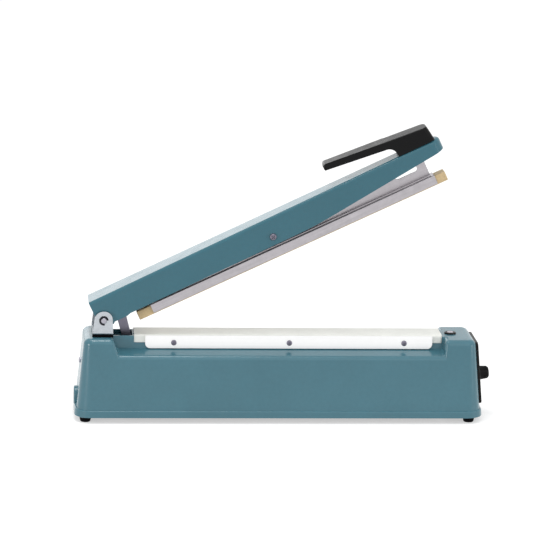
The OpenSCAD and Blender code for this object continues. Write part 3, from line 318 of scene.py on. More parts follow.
def silicone(finish, colour):
    """Tan rubber, a little mottled and dusty."""
    finish.shade({"Subsurface Weight": 0.08, "Subsurface Radius": (0.002, 0.0015, 0.001)})
    mottle = finish.mix(finish.grain(0.009, 4.0), finish.grain(0.0015), 0.4)
    finish.colour(mottle, colour, 0.84, 1.12)
    finish.rough(mottle, 0.5, 0.72)
    finish.relief(finish.grain(0.0008), 0.00005, 0.4)


def release_cloth(finish, colour):
    """Coated glass cloth with its plain weave."""
    warp, weft = (finish.math("SUBTRACT", finish.bands(0.0011, along), 0.5) for along in "XY")
    weave = finish.math("MULTIPLY", finish.math("MULTIPLY", warp, weft), 2.0)
    weave = finish.math("ADD", weave, 0.5)
    finish.colour(finish.mix(weave, finish.grain(0.02, 3.0), 0.5), colour, 0.9, 1.08)
    finish.rough(weave, 0.42, 0.58)
    finish.relief(weave, 0.00006, 0.6)


def phenolic(finish, colour):
    """Pressed paper board with flecks in its layers."""
    layers = finish.streaks((60, 60, 2500), detail=4.0)
    finish.colour(layers, colour, 0.7, 1.25)
    finish.rough(layers, 0.38, 0.55)
    finish.relief(layers, 0.00003, 0.4)


def copper_winding(finish, colour):
    """Turns of enamelled wire lying side by side."""
    finish.shade({"Metallic": 1.0, "Coat Weight": 0.4})
    turns = finish.bands(0.0008, "Z")
    finish.colour(finish.mix(turns, finish.grain(0.006), 0.4), colour, 0.55, 1.15)
    finish.rough(turns, 0.25, 0.45)
    finish.relief(turns, 0.0003, 0.8)


def board(finish, colour):
    """Green board with paler tracks under its lacquer."""
    finish.shade({"Coat Weight": 0.3})
    tracks = finish.add("TexVoronoi", {"Vector": finish.place, "Scale": 260.0}, feature="DISTANCE_TO_EDGE")
    finish.colour(tracks, colour, 1.7, 0.9, 0.06, 0.1)
    finish.rough(finish.grain(0.004), 0.3, 0.45)
    finish.relief(tracks, 0.00003, 0.4)


def lamp_lens(finish, colour):
    """Red lens with a ribbed inside."""
    finish.shade({"Roughness": 0.12, "Transmission Weight": 0.25, "IOR": 1.49})
    ribs = finish.bands(0.0009, "Y")
    finish.colour(finish.mix(ribs, finish.grain(0.002), 0.3), colour, 0.6, 1.25)
    finish.relief(ribs, 0.00008, 0.5)


SHEET_GRAIN = (160, 160, 900)
FINISHES = {
    "base_paint": (paint, "base", {}),
    "arm_paint": (paint, "arm", {}),
    "plated_steel": (metal, "steel", {"low": 0.26, "high": 0.42, "stretch": SHEET_GRAIN}),
    "bright_steel": (metal, "bright", {"low": 0.3, "high": 0.46, "stretch": SHEET_GRAIN}),
    "grey_steel_and_tongue_shade": (metal, "grey", {"low": 0.34, "high": 0.5, "stretch": (400, 900, 160)}),
    "dark_steel": (metal, "oxide", {"low": 0.38, "high": 0.55}),
    "laminated_core": (laminated_core, "oxide", {}),
    "bar_aluminium": (metal, "bar", {"low": 0.3, "high": 0.44, "turn": (0, BAR_ANGLE, 0)}),
    "strip_aluminium": (
        metal, "strip", {"low": 0.3, "high": 0.4, "stretch": (30, 1400, 1400), "dark": 0.96, "light": 1.02}
    ),
    "black_plastic": (plastic, "plastic", {"grain": 0.0007, "low": 0.24, "high": 0.36, "shine": 0.15}),
    "white_plastic": (plastic, "button", {"grain": 0.0009, "low": 0.3, "high": 0.42, "depth": 0.00002}),
    "foot_rubber": (plastic, "rubber", {"grain": 0.0005, "low": 0.5, "high": 0.66, "shine": 0.05}),
    "silicone": (silicone, "silicone", {}),
    "release_cloth": (release_cloth, "cloth", {}),
    "phenolic": (phenolic, "phenolic", {}),
    "copper_winding": (copper_winding, "copper", {}),
    "brass": (metal, "brass", {"low": 0.25, "high": 0.4}),
    "board": (board, "board", {}),
    "lamp_lens": (lamp_lens, "lamp", {}),
}


def finish_of(name):
    """The named finish, made the first time it is asked for."""
    title = name + "_finish"
    if title not in bpy.data.materials:
        make, colour, choices = FINISHES[name]
        make(Finish(title), getattr(settings().colours, colour), **choices)
    return bpy.data.materials[title]


# Mesh tools


def middle(face):
    """Middle of a face."""
    return face.calc_center_median()


def lowest(part, axis=2):
    """Least coordinate of an edge or face along an axis."""
    return min(v.co[axis] for v in part.verts)


def highest(part, axis=2):
    """Greatest coordinate of an edge or face along an axis."""
    return max(v.co[axis] for v in part.verts)


def rectangle(left, low, right, high):
    """Corners of a rectangle in turn."""
    return [(left, low), (right, low), (right, high), (left, high)]


def box_form(low, high):
    """Box between two corners."""
    low, high = Vector(low), Vector(high)
    bm = bmesh.new()
    place = Matrix.Translation((low + high) / 2) @ Matrix.Diagonal((*(high - low), 1))
    bmesh.ops.create_cube(bm, size=1, matrix=place)
    return bm


def outline(points):
    """One flat face through points."""
    bm = bmesh.new()
    bm.faces.new([bm.verts.new(point) for point in points])
    return bm


def side_outline(points):
    """Flat face in the plane of X and Z, from points in millimetres."""
    return outline([(x * MM, 0, z * MM) for x, z in points])


def sharp_edges(bm, limit=0.5):
    """Edges whose faces turn by more than the limit."""
    bm.normal_update()
    return [e for e in bm.edges if len(e.link_faces) == 2 and e.calc_face_angle() > limit]


def bevel(bm, geom, affect, radius, segments):
    """Round edges or corners off."""
    bmesh.ops.bevel(
        bm, geom=list(geom), offset=radius, offset_type="OFFSET", affect=affect, segments=segments,
        profile=0.5, material=-1,
    )


def soften(bm, radius, segments=3, edges=None):
    """Round edges off, all the sharp ones if none are given."""
    bevel(bm, sharp_edges(bm) if edges is None else edges, "EDGES", radius, segments)


def round_corner(bm, point, radius, segments=8):
    """Round the corner of a flat outline at a point."""
    near = [v for v in bm.verts if (v.co - Vector(point)).length < TINY]
    bevel(bm, near, "VERTICES", radius, segments)


def whole(faces):
    """Faces with their edges and vertices."""
    parts = set(faces)
    for face in faces:
        parts.update(face.edges, face.verts)
    return list(parts)


def lift(bm, faces, by):
    """Extrude faces as one region, and give the new faces and vertices."""
    made = bmesh.ops.extrude_face_region(bm, geom=whole(faces))["geom"]
    points = [g for g in made if isinstance(g, bmesh.types.BMVert)]
    bmesh.ops.translate(bm, vec=by, verts=points)
    bm.normal_update()
    return [g for g in made if isinstance(g, bmesh.types.BMFace)], points


def slices(bm, way, places, choose=None):
    """Cut all faces, or those chosen anew each time, across a way at each place."""
    for place in places:
        faces = choose() if choose else bm.faces[:]
        bmesh.ops.bisect_plane(bm, geom=whole(faces), dist=MERGE, plane_co=way * place, plane_no=way)
        bm.normal_update()


def refill(bm):
    """Fill a flat outline again, round the outlines that lie in it."""
    bmesh.ops.delete(bm, geom=bm.faces[:], context="FACES_ONLY")
    bmesh.ops.triangle_fill(bm, use_beauty=True, use_dissolve=True, edges=bm.edges)


def shrink(points, share):
    """Bring points nearer to the Z axis."""
    for point in points:
        point.co.x *= share
        point.co.y *= share


def sink_top(bm, border, depth):
    """Sink the top face inside a border."""
    top = max(bm.faces, key=lambda f: (round(middle(f).z, 6), f.calc_area()))
    bmesh.ops.inset_region(bm, faces=[top], thickness=border)
    lift(bm, [top], (0, 0, -depth))


def spun(profile, segments=48, closed=False, sweep=FULL_TURN):
    """Turn a profile of radius and height in millimetres round Z."""
    bm = bmesh.new()
    points = [bm.verts.new((r * MM, 0, h * MM)) for r, h in profile]
    pairs = list(zip(points, points[1:])) + ([(points[-1], points[0])] if closed else [])
    edges = [bm.edges.new(pair) for pair in pairs]
    bmesh.ops.spin(
        bm, geom=points + edges, cent=(0, 0, 0), axis=Z, angle=sweep, steps=segments,
        use_merge=sweep == FULL_TURN,
    )
    bmesh.ops.remove_doubles(bm, verts=bm.verts, dist=MERGE)
    bmesh.ops.recalc_face_normals(bm, faces=bm.faces)
    return bm


def add_form(bm, form, place=Matrix()):
    """Put another form into this one at a place, and free it."""
    form.transform(place)
    mesh = bpy.data.meshes.new("form")
    form.to_mesh(mesh)
    form.free()
    bm.from_mesh(mesh)
    bpy.data.meshes.remove(mesh)


def facing(point, direction):
    """Place at a point whose own Z points in a direction."""
    return Matrix.Translation(point) @ Vector(direction).to_track_quat("Z", "Y").to_matrix().to_4x4()


def mark_widths(bm, widths):
    """Write the rounding of each edge as a share of the widest one, and give that."""
    widest = max(widths.values())
    bm.edges.index_update()
    shares = {edge.index: width / widest for edge, width in widths.items()}
    layer = bm.edges.layers.float.new("bevel_weight_edge")
    bm.edges.ensure_lookup_table()
    for index, share in shares.items():
        bm.edges[index][layer] = share
    return widest


def settle(piece):
    """Keep what the modifiers make as the piece's own mesh."""
    graph = bpy.context.evaluated_depsgraph_get()
    made = bpy.data.meshes.new_from_object(piece.evaluated_get(graph))
    made.name = piece.name
    old = piece.data
    piece.modifiers.clear()
    piece.data = made
    bpy.data.meshes.remove(old)


def piece_of(bm, name, finish, body, node=None, rounding=0.0, steps=4, sheet=0.0, sharp=36):
    """Finish a form as a piece on its body: round its marked edges, thicken it and shade it."""
    bmesh.ops.remove_doubles(bm, verts=bm.verts, dist=MERGE)
    bmesh.ops.recalc_face_normals(bm, faces=bm.faces)
    mesh = bpy.data.meshes.new(name)
    bm.to_mesh(mesh)
    bm.free()
    piece = bpy.data.objects.new(name, mesh)
    bpy.context.scene.collection.objects.link(piece)
    if rounding:
        edge = piece.modifiers.new("rounding", "BEVEL")
        edge.limit_method = "WEIGHT"
        edge.width, edge.segments, edge.profile = rounding, steps, 0.5
        edge.use_clamp_overlap = False
    if sheet:
        shell = piece.modifiers.new("sheet", "SOLIDIFY")
        shell.thickness, shell.offset, shell.use_even_offset = sheet, -1, True
    if piece.modifiers:
        settle(piece)
    piece.data.shade_smooth()
    piece.data.set_sharp_from_angle(angle=math.radians(sharp))
    normals = piece.modifiers.new("normals", "WEIGHTED_NORMAL")
    normals.keep_sharp = True
    piece.data.materials.clear()
    piece.data.materials.append(finish_of(finish))
    if body:
        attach(piece, body)
    if node:
        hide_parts(node)
    return piece


def dress(finish, *names):
    """Give CAD nodes a finish."""
    for name in names:
        materials = frame["nodes"][name].data.materials
        materials.clear()
        materials.append(finish_of(finish))


def screw_head(radius=3 * MM, height=2 * MM):
    """Pan head with a cross recess, standing on its own level."""
    bm = bmesh.new()
    bmesh.ops.create_circle(bm, cap_ends=True, segments=24, radius=radius)
    top, _ = lift(bm, bm.faces, (0, 0, height))
    soften(bm, height * 0.6, 4, top[0].edges)
    half, reach, depth, taper = radius * 0.13, radius * 0.56, height * 0.55, 0.72

    def crown():
        return [f for f in bm.faces if lowest(f) > height - TINY / 10]

    for way in (X, Y):
        slices(bm, way, (-reach, -half, half, reach), crown)
    arms = []
    for face in crown():
        x, y = (abs(c) for c in middle(face).xy)
        if max(x, y) < reach and min(x, y) < half:
            arms.append(face)
    _, points = lift(bm, arms, (0, 0, -depth))
    shrink(points, taper)
    return bm


def screw_heads(places):
    """Like pan heads at places."""
    heads = bmesh.new()
    for place in places:
        add_form(heads, screw_head(), place)
    return heads


# Base


def housing_form(size):
    """Moulded base: a leaning box on a stepped rim, with two end blocks joined by a ridge."""
    low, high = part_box("base_housing")
    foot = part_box("bottom_plate")[0].z
    rim_top, ledge = foot + size.rim_height, high.z - size.saddle_drop
    left, right, half = low.x + size.rim_end, high.x - size.rim_end, high.y - size.rim_side
    ridge, radius = size.ridge_width / 2, size.corner_radius
    rim_lean, rim_edge, ridge_edge, inner_share = 0.6 * MM, 1.2 * MM, 1 * MM, 0.6

    def plan_offset(point):
        """Way to a point from the plan's inner rectangle, on which the corners turn."""
        x = min(max(point.x, left + radius), right - radius)
        y = min(max(point.y, radius - half), half - radius)
        return Vector((point.x - x, point.y - y, 0))

    # Rim, end blocks and ridge
    bm = box_form((left, -half, foot), (right, half, ledge))
    soften(bm, radius, 12, [e for e in bm.edges if highest(e) - lowest(e) > TINY])
    slices(bm, Z, [rim_top])
    sides = [f for f in bm.faces if middle(f).z < rim_top and abs(f.normal.z) < 0.5]
    for point in lift(bm, sides, (0, 0, 0))[1]:
        way = plan_offset(point.co).normalized()
        out = Vector((way.x * size.rim_end, way.y * size.rim_side, 0))
        point.co += out - way * (rim_lean if point.co.z > foot + TINY else 0)
    slices(bm, X, (size.saddle_left, size.saddle_right))
    slices(bm, Y, (-ridge, ridge))
    raised = []
    for face in bm.faces:
        spot = middle(face)
        on_block = not size.saddle_left < spot.x < size.saddle_right
        if face.normal.z > 0.9 and spot.z > ledge - TINY and (on_block or abs(spot.y) < ridge):
            raised.append(face)
    lift(bm, raised, (0, 0, size.saddle_drop))

    # Leaning walls and slopes
    for point in bm.verts:
        way = plan_offset(point.co)
        if point.co.z > rim_top + TINY and way.length > TINY:
            point.co -= way.normalized() * size.wall_lean * (point.co.z - rim_top) / (high.z - rim_top)
    for end, slope in ((size.saddle_left, -size.left_slope), (size.saddle_right, size.right_slope)):
        for point in bm.verts:
            if abs(point.co.x - end) < TINY and point.co.z > ledge - TINY:
                if abs(abs(point.co.y) - ridge) < TINY and point.co.z < ledge + TINY:
                    point.co.z += size.ledge_rise
                point.co.x += slope * (point.co.z - ledge) / size.saddle_drop

    # Openings for the tongue, the button, the cord and the bottom plate
    pocket, pocket_half = (-190 * MM, -165.5 * MM), 13 * MM
    button, hole = middle_of("switch_button", 0), 4.5 * MM
    inlet, bore, wall_reach = middle_of("cord_gland", 2), 5.2 * MM, 9 * MM

    def tops(half_width, start=low.x):
        faces = [f for f in bm.faces if lowest(f) > high.z - TINY]
        return [f for f in faces if abs(middle(f).y) < half_width and middle(f).x > start]

    def left_wall():
        faces = [f for f in bm.faces if f.normal.x < -0.9 and rim_top < middle(f).z < ledge]
        return [f for f in faces if abs(middle(f).y) < ridge and plan_offset(middle(f)).x < 0]

    slices(bm, Y, (-pocket_half, pocket_half), lambda: tops(ridge))
    slices(bm, X, pocket, lambda: tops(pocket_half))
    slices(bm, Y, (-hole, hole), lambda: tops(pocket_half, size.saddle_right))
    slices(bm, X, (button - hole, button + hole), lambda: tops(hole))
    slices(bm, Y, (-bore, bore), left_wall)
    slices(bm, Z, (inlet - bore, inlet + bore), left_wall)
    gone = []
    for face in bm.faces:
        spot = middle(face)
        in_pocket = pocket[0] < spot.x < pocket[1] and abs(spot.y) < pocket_half
        in_hole = abs(spot.x - button) < hole and abs(spot.y) < hole
        on_top = spot.z > high.z - TINY and (in_pocket or in_hole)
        under = spot.z < foot + TINY and max(plan_offset(v.co).length for v in face.verts) < radius + TINY
        in_bore = abs(spot.y) < bore and abs(spot.z - inlet) < bore and spot.x < left + wall_reach
        if on_top or under or in_bore:
            gone.append(face)
    bmesh.ops.delete(bm, geom=gone, context="FACES")

    # Rounded edges
    widths = {}
    for edge in sharp_edges(bm, 0.3):
        points = [v.co for v in edge.verts]
        start, end = lowest(edge), highest(edge)
        on_ridge = all(abs(abs(p.y) - ridge) < TINY for p in points)
        out = min(plan_offset(p).length for p in points)
        if start > high.z - TINY:
            block_edge = size.block_edge if out > TINY else size.saddle_edge
            widths[edge] = ridge_edge if on_ridge else block_edge
        elif on_ridge:
            continue
        elif start > ledge - TINY:
            foot_of_slope = end < ledge + size.ledge_rise + TINY and out < TINY
            widths[edge] = size.saddle_edge * (inner_share if foot_of_slope else 1)
        elif max(abs(start - rim_top), abs(end - rim_top)) < TINY and out > radius + TINY:
            widths[edge] = rim_edge
    return bm, mark_widths(bm, widths)


def four_places(name, inset):
    """Middles of four like pieces at the corners of a node's box."""
    low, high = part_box(name)
    return [(x, y) for x in (low.x + inset, high.x - inset) for y in (low.y + inset, high.y - inset)]


FOOT_PLACES = four_places("rubber_feet", 6.5 * MM)
PLATE_SCREWS = four_places("bottom_screws", 3 * MM)


class SEALER_OT_housing(Operator):
    """Moulded base with its foot pads and cord boss"""

    bl_idname = "sealer.housing"
    bl_label = "Housing"

    def execute(self, context):
        size = settings().housing
        bm, widest = housing_form(size)
        piece_of(
            bm, "housing", "base_paint", "base", "base_housing", rounding=widest, steps=6, sheet=size.wall
        )
        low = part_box("base_housing")[0]
        pads = bmesh.new()
        for x, y in FOOT_PLACES:
            pad = spun([(0, 0), (7.2, 0), (8, 0.8), (8, 7.5), (0, 7.5)])
            add_form(pads, pad, Matrix.Translation((x, y, low.z)))
        half, foot, crown, deep = 10 * MM, 13 * MM, 31 * MM, 6 * MM
        inlet, bore = Vector((low.x, 0, middle_of("cord_gland", 2))), 7.6 * MM
        boss = outline([(low.x, y, z) for y, z in rectangle(-half, foot, half, crown)])
        for y in (-half, half):
            round_corner(boss, (low.x, y, crown), 9.5 * MM)
        bmesh.ops.create_circle(boss, segments=48, radius=bore, matrix=facing(inlet, X))
        refill(boss)
        lift(boss, boss.faces, (deep, 0, 0))
        bmesh.ops.recalc_face_normals(boss, faces=boss.faces)
        front = [e for e in sharp_edges(boss) if highest(e, 0) < low.x + TINY]
        outer = [e for e in front if (e.verts[0].co - inlet).length > bore + 0.4 * MM]
        soften(boss, 1.2 * MM, edges=outer)
        add_form(pads, boss)
        piece_of(pads, "housing_bosses", "base_paint", "base")
        return {"FINISHED"}


class SEALER_OT_feet(Operator):
    """Rubber feet, bottom plate and its screws"""

    bl_idname = "sealer.feet"
    bl_label = "Feet and bottom plate"

    def execute(self, context):
        sole = [(0, 1.4), (2.4, 1.4), (2.9, 0), (4.9, 0), (5.5, 0.6)]
        stem = [(6.5, 5.3), (2.5, 5.3), (2.5, 10.3), (0, 10.3)]
        feet = bmesh.new()
        for x, y in FOOT_PLACES:
            foot = spun(sole + stem)
            soften(foot, 0.35 * MM, edges=[e for e in sharp_edges(foot) if highest(e) < 2 * MM])
            add_form(feet, foot, Matrix.Translation((x, y, 0)))
        piece_of(feet, "feet", "foot_rubber", "base", "rubber_feet")
        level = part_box("bottom_plate")[0].z
        heads = screw_heads([facing((x, y, level), -Z) for x, y in PLATE_SCREWS])
        piece_of(heads, "plate_screws", "plated_steel", "base", "bottom_screws")
        dress("dark_steel", "bottom_plate")
        return {"FINISHED"}


PANEL_HEIGHT, KNOB_HEIGHT, LAMP_HEIGHT, SCREW_HEIGHT = 52.5, 46.0, 74.0, 60.0
PRINT_HALF = 0.06 * MM


def end_wall(side, height):
    """Place on an end wall at a height in millimetres, its own Z pointing out and its Y up."""
    size = settings().housing
    low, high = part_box("base_housing")
    rim_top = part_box("bottom_plate")[0].z + size.rim_height
    rate = size.wall_lean / (high.z - rim_top)
    foot = high.x - size.rim_end if side > 0 else -low.x - size.rim_end
    spot = Vector((side * (foot - rate * (height * MM - rim_top)), 0, height * MM))
    return facing(spot, (side, 0, rate))


class SEALER_OT_inlet(Operator):
    """Cord gland and screw on the left end"""

    bl_idname = "sealer.inlet"
    bl_label = "Cord gland"

    def execute(self, context):
        low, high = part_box("cord_gland")
        deep = (high.x - low.x) / MM
        flange = [(4, 0.5), (4.5, 0), (7, 0), (7.5, 0.5), (7.5, 1.3)]
        gland = spun(flange + [(5.5, 1.3), (5.5, deep), (4, deep)], closed=True)
        spot = Matrix.Translation((low.x, 0, middle_of("cord_gland", 2)))
        gland.transform(spot @ Matrix.Rotation(math.pi / 2, 4, "Y"))
        piece_of(gland, "gland", "black_plastic", "base", "cord_gland")
        head = screw_heads([end_wall(-1, SCREW_HEIGHT)])
        piece_of(head, "wall_screw", "plated_steel", "base", "end_screw")
        return {"FINISHED"}


def figure(text, size):
    """Form of a plain numeral, flat and centred."""
    curve = bpy.data.curves.new("numeral", "FONT")
    curve.body, curve.size, curve.extrude = text, size, PRINT_HALF
    curve.align_x = curve.align_y = "CENTER"
    letter = bpy.data.objects.new("numeral", curve)
    bpy.context.scene.collection.objects.link(letter)
    graph = bpy.context.evaluated_depsgraph_get()
    mesh = bpy.data.meshes.new_from_object(letter.evaluated_get(graph))
    bpy.data.objects.remove(letter)
    bpy.data.curves.remove(curve)
    bm = bmesh.new()
    bm.from_mesh(mesh)
    bpy.data.meshes.remove(mesh)
    return bm


class SEALER_OT_panel(Operator):
    """Control panel with its timer dial and lamp"""

    bl_idname = "sealer.panel"
    bl_label = "Control panel"

    def execute(self, context):
        wide, tall, thick, radius = 27 * MM, 34.5 * MM, 3 * MM, 4 * MM
        border, sunk = 1.6 * MM, 0.35 * MM
        corners = [(x, y, 0) for x, y in rectangle(-wide, -tall, wide, tall)]
        plate = outline(corners)
        for corner in corners:
            round_corner(plate, corner, radius)
        face, _ = lift(plate, plate.faces, (0, 0, thick))
        soften(plate, 0.8 * MM, edges=face[0].edges)
        sink_top(plate, border, sunk)
        plate.transform(end_wall(1, PANEL_HEIGHT))
        piece_of(plate, "panel", "black_plastic", "base", "control_panel")

        marks = bmesh.new()
        level, sweep, steps = thick - 0.3 * MM, math.radians(270), 16
        tick_half, tick_start, numeral_out = 0.3 * MM, 9.6 * MM, 15 * MM
        for step in range(steps + 1):
            turn = Matrix.Rotation(sweep / 2 - sweep * step / steps, 4, "Z")
            numbered = step % 2 == 0
            tick_end = (12.4 if numbered else 11.2) * MM
            tick = box_form((-tick_half, tick_start, -PRINT_HALF), (tick_half, tick_end, PRINT_HALF))
            add_form(marks, tick, Matrix.Translation((0, 0, level)) @ turn)
            if numbered:
                spot = turn @ Vector((0, numeral_out, level))
                add_form(marks, figure(str(step // 2), 4 * MM), Matrix.Translation(spot))
        marks.transform(end_wall(1, KNOB_HEIGHT))
        piece_of(marks, "dial_marks", "white_plastic", "base")

        dome = [(2.42, 3.35), (2.1, 3.65), (1.5, 3.83), (0.8, 3.9), (0, 3.9)]
        lamp = spun([(0, -3), (2.5, -3), (2.5, 3)] + dome, 32)
        lamp.transform(end_wall(1, LAMP_HEIGHT))
        piece_of(lamp, "lamp", "lamp_lens", "base", "indicator_lamp")
        dress("plated_steel", "pot_nut")
        return {"FINISHED"}


class SEALER_OT_knob(Operator):
    """Ribbed timer knob with its pointer"""

    bl_idname = "sealer.knob"
    bl_label = "Timer knob"

    def execute(self, context):
        ribs, rib, taper = 22, 0.7 * MM, 0.88
        base, tall, radius = 3.4 * MM, 12.6 * MM, 7.05 * MM
        skirt_tall, skirt_radius = 1.6 * MM, 7.75 * MM
        bm = bmesh.new()
        bmesh.ops.create_circle(bm, cap_ends=True, segments=ribs * 2, radius=radius)
        skirt, _ = lift(bm, bm.faces, (0, 0, skirt_tall))
        top, points = lift(bm, skirt, (0, 0, tall - skirt_tall))
        shrink(points, taper)
        soften(bm, 1.9 * MM, 4, top[0].edges)
        bm.normal_update()
        upright = [f for f in bm.faces if abs(f.normal.z) < 0.5]
        walls = [f for f in upright if 2 * MM < middle(f).z < 9 * MM]
        walls.sort(key=lambda f: math.atan2(middle(f).y, middle(f).x))
        for face in bmesh.ops.extrude_discrete_faces(bm, faces=walls[::2])["faces"]:
            bmesh.ops.translate(bm, vec=face.normal * rib, verts=face.verts)
        skirts = [f for f in bm.faces if abs(f.normal.z) < 0.5 and middle(f).z < skirt_tall - 0.1 * MM]
        for point in {v for f in skirts for v in f.verts}:
            out = Vector((point.co.x, point.co.y, 0)).normalized()
            point.co = out * skirt_radius + Vector((0, 0, point.co.z))
        sink_top(bm, 0.8 * MM, 0.4 * MM)
        place = end_wall(1, KNOB_HEIGHT) @ Matrix.Translation((0, 0, base))
        bm.transform(place)
        piece_of(bm, "knob", "black_plastic", "knob", "timer_knob")
        pointer = box_form((-0.45 * MM, 1.2 * MM, tall - 0.5 * MM), (0.45 * MM, 5.2 * MM, tall - 0.05 * MM))
        soften(pointer, 0.12 * MM, 2)
        pointer.transform(place)
        piece_of(pointer, "knob_pointer", "white_plastic", "knob")
        dress("plated_steel", "knob_shaft")
        return {"FINISHED"}


class SEALER_OT_switch(Operator):
    """Switch button in its bezel on the right block"""

    bl_idname = "sealer.switch"
    bl_label = "Switch"

    def execute(self, context):
        place = Matrix.Translation((middle_of("switch_button", 0), 0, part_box("base_housing")[1].z))
        ring = [(3.55, 1.2), (3.9, 1.7), (5.5, 1.7), (6.2, 1.35), (6.5, 0.6), (6.5, 0)]
        bezel = spun(ring + [(5, 0), (5, -9), (3.55, -9)], closed=True)
        bezel.transform(place)
        piece_of(bezel, "bezel", "black_plastic", "base", "switch_bezel")
        dish = [(0, 1.95), (1.6, 2.0), (2.6, 2.2), (3.1, 2.1), (3.5, 1.6)]
        button = spun(dish + [(3.5, -9), (4.7, -9), (4.7, -10.5), (0, -10.5)])
        button.transform(place)
        piece_of(button, "button", "white_plastic", "button", "switch_button")
        return {"FINISHED"}


# Sealing bed


class SEALER_OT_bed(Operator):
    """Release cloth over the heating ribbon and its bed"""

    bl_idname = "sealer.bed"
    bl_label = "Sealing bed"

    def execute(self, context):
        dress("phenolic", "element_bed")
        dress("plated_steel", "heating_element")
        low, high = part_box("release_cloth")
        thick, bend, wave = 0.4 * MM, 2.2 * MM, 0.05 * MM
        top, half = high.z - thick / 2, high.y - thick / 2
        flat, arc = half - bend, bend * math.pi / 2
        width = 2 * (flat + arc + top - bend - low.z)
        long = high.x - low.x
        place = Matrix.Translation((middle_of("release_cloth", 0), 0, 0))
        cloth = bmesh.new()
        bmesh.ops.create_grid(
            cloth, x_segments=168, y_segments=64, size=0.5, matrix=place @ Matrix.Diagonal((long, width, 1, 1))
        )
        for point in cloth.verts:
            x, s = point.co.x, abs(point.co.y)
            side = math.copysign(1, point.co.y)
            ripple = wave * (1 + math.sin(x * 61 + side) * math.sin(x * 23))
            if s < flat:
                y, z = s, top
            elif s < flat + arc:
                turn = (s - flat) / bend
                y, z = flat + bend * math.sin(turn), top - bend * (1 - math.cos(turn))
            else:
                y, z = half, top - bend - (s - flat - arc)
            fall = min(max((s - flat) / arc, 0), 1)
            point.co = (x, side * y, z - ripple * fall)
        piece = piece_of(cloth, "cloth", "release_cloth", "base", "release_cloth")
        shell = piece.modifiers.new("thickness", "SOLIDIFY")
        shell.thickness, shell.offset = thick, 0
        return {"FINISHED"}


class SEALER_OT_strips(Operator):
    """Clamping strips of the cloth and their screws"""

    bl_idname = "sealer.strips"
    bl_label = "Cloth strips"

    def execute(self, context):
        lower_radius, upper_radius, head_radius = 5.5 * MM, 1 * MM, 3 * MM
        level, centre = middle_of("cloth_strip_screws", 2), middle_of("cloth_strip_screws", 0)
        low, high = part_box("cloth_strip_screws")
        pitch = (high.x - low.x) / 2 - head_radius
        places = []
        for side, name in ((-1, "front_cloth_strip"), (1, "rear_cloth_strip")):
            low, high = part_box(name)
            corners = rectangle(low.x, low.z, high.x, high.z)
            strip = outline([(x, low.y, z) for x, z in corners])
            for x, z in corners:
                round_corner(strip, (x, low.y, z), lower_radius if z == low.z else upper_radius)
            lift(strip, strip.faces, (0, high.y - low.y, 0))
            soften(strip, 0.25 * MM, 2)
            piece_of(strip, name.replace("_cloth", ""), "strip_aluminium", "base", name)
            face = low.y if side < 0 else high.y
            for step in (-1, 0, 1):
                turn = Matrix.Rotation(0.35 + 0.9 * step + side, 4, "Z")
                places.append(facing((centre + pitch * step, face, level), Y * side) @ turn)
        heads = screw_heads(places)
        piece_of(heads, "strip_screws", "grey_steel_and_tongue_shade", "base", "cloth_strip_screws")
        return {"FINISHED"}


# Hinge


class SEALER_OT_hinge(Operator):
    """Hinge bracket on a thin black pad, with its pin, clips and screws"""

    bl_idname = "sealer.hinge"
    bl_label = "Hinge"

    def execute(self, context):
        # A thin black rubber block under the bracket; it makes the dark band beneath the bracket's edge.
        gasket = box_form(*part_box("bracket_gasket"))
        soften(gasket, 0.4 * MM)
        piece_of(gasket, "gasket", "foot_rubber", "base", "bracket_gasket")

        low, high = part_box("hinge_bracket")
        sheet, ear_half, ear_radius = 2 * MM, 9 * MM, 8.4 * MM
        bracket = outline([(x, y, low.z) for x, y in rectangle(low.x, low.y, high.x, high.y)])
        folds = [e for e in bracket.edges if highest(e, 1) - lowest(e, 1) < TINY]
        made = bmesh.ops.extrude_edge_only(bracket, edges=folds)["geom"]
        crest = [g for g in made if isinstance(g, bmesh.types.BMVert)]
        bmesh.ops.translate(bracket, vec=(0, 0, high.z - low.z), verts=crest)
        for point in crest:
            point.co.x = PIVOT.x + math.copysign(ear_half, point.co.x - PIVOT.x)
        bevel(bracket, crest, "VERTICES", ear_radius, 8)
        soften(bracket, 2.4 * MM, 5)
        for face in bracket.faces:
            if face.normal.dot(middle(face) - Vector((PIVOT.x, 0, PIVOT.z))) < 0:
                face.normal_flip()
        piece_of(bracket, "bracket", "bright_steel", "base", "hinge_bracket", sheet=sheet)

        spots = [(PIVOT.x - 1 * MM, y * MM, low.z + sheet) for y in (-15, 15)]
        heads = screw_heads([Matrix.Translation(spot) for spot in spots])
        piece_of(heads, "bracket_heads", "plated_steel", "base", "bracket_screws")

        low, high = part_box("hinge_pin")
        half = (high.y - low.y) / 2 / MM
        pin = spun([(0, -half), (2.5, -half), (3, 0.5 - half), (3, half - 0.5), (2.5, half), (0, half)], 40)
        pin.transform(facing(PIVOT, Y))
        piece_of(pin, "pin", "plated_steel", "base", "hinge_pin")

        clips = bmesh.new()
        clip_out, clip_sweep, clip_turn = 24.55 * MM, math.radians(276), math.radians(7)
        turn = Matrix.Rotation(math.pi / 2, 4, "X") @ Matrix.Rotation(clip_turn, 4, "Z")
        for side in (-1, 1):
            clip = spun(rectangle(3.06, -0.45, 5.1, 0.45), 40, True, clip_sweep)
            bmesh.ops.holes_fill(clip, edges=clip.edges)
            bmesh.ops.recalc_face_normals(clip, faces=clip.faces)
            soften(clip, 0.15 * MM, 2)
            add_form(clips, clip, Matrix.Translation(PIVOT + Y * side * clip_out) @ turn)
        piece_of(clips, "clips", "dark_steel", "base", "pin_clips")
        dress("white_plastic", "hinge_washers")
        return {"FINISHED"}


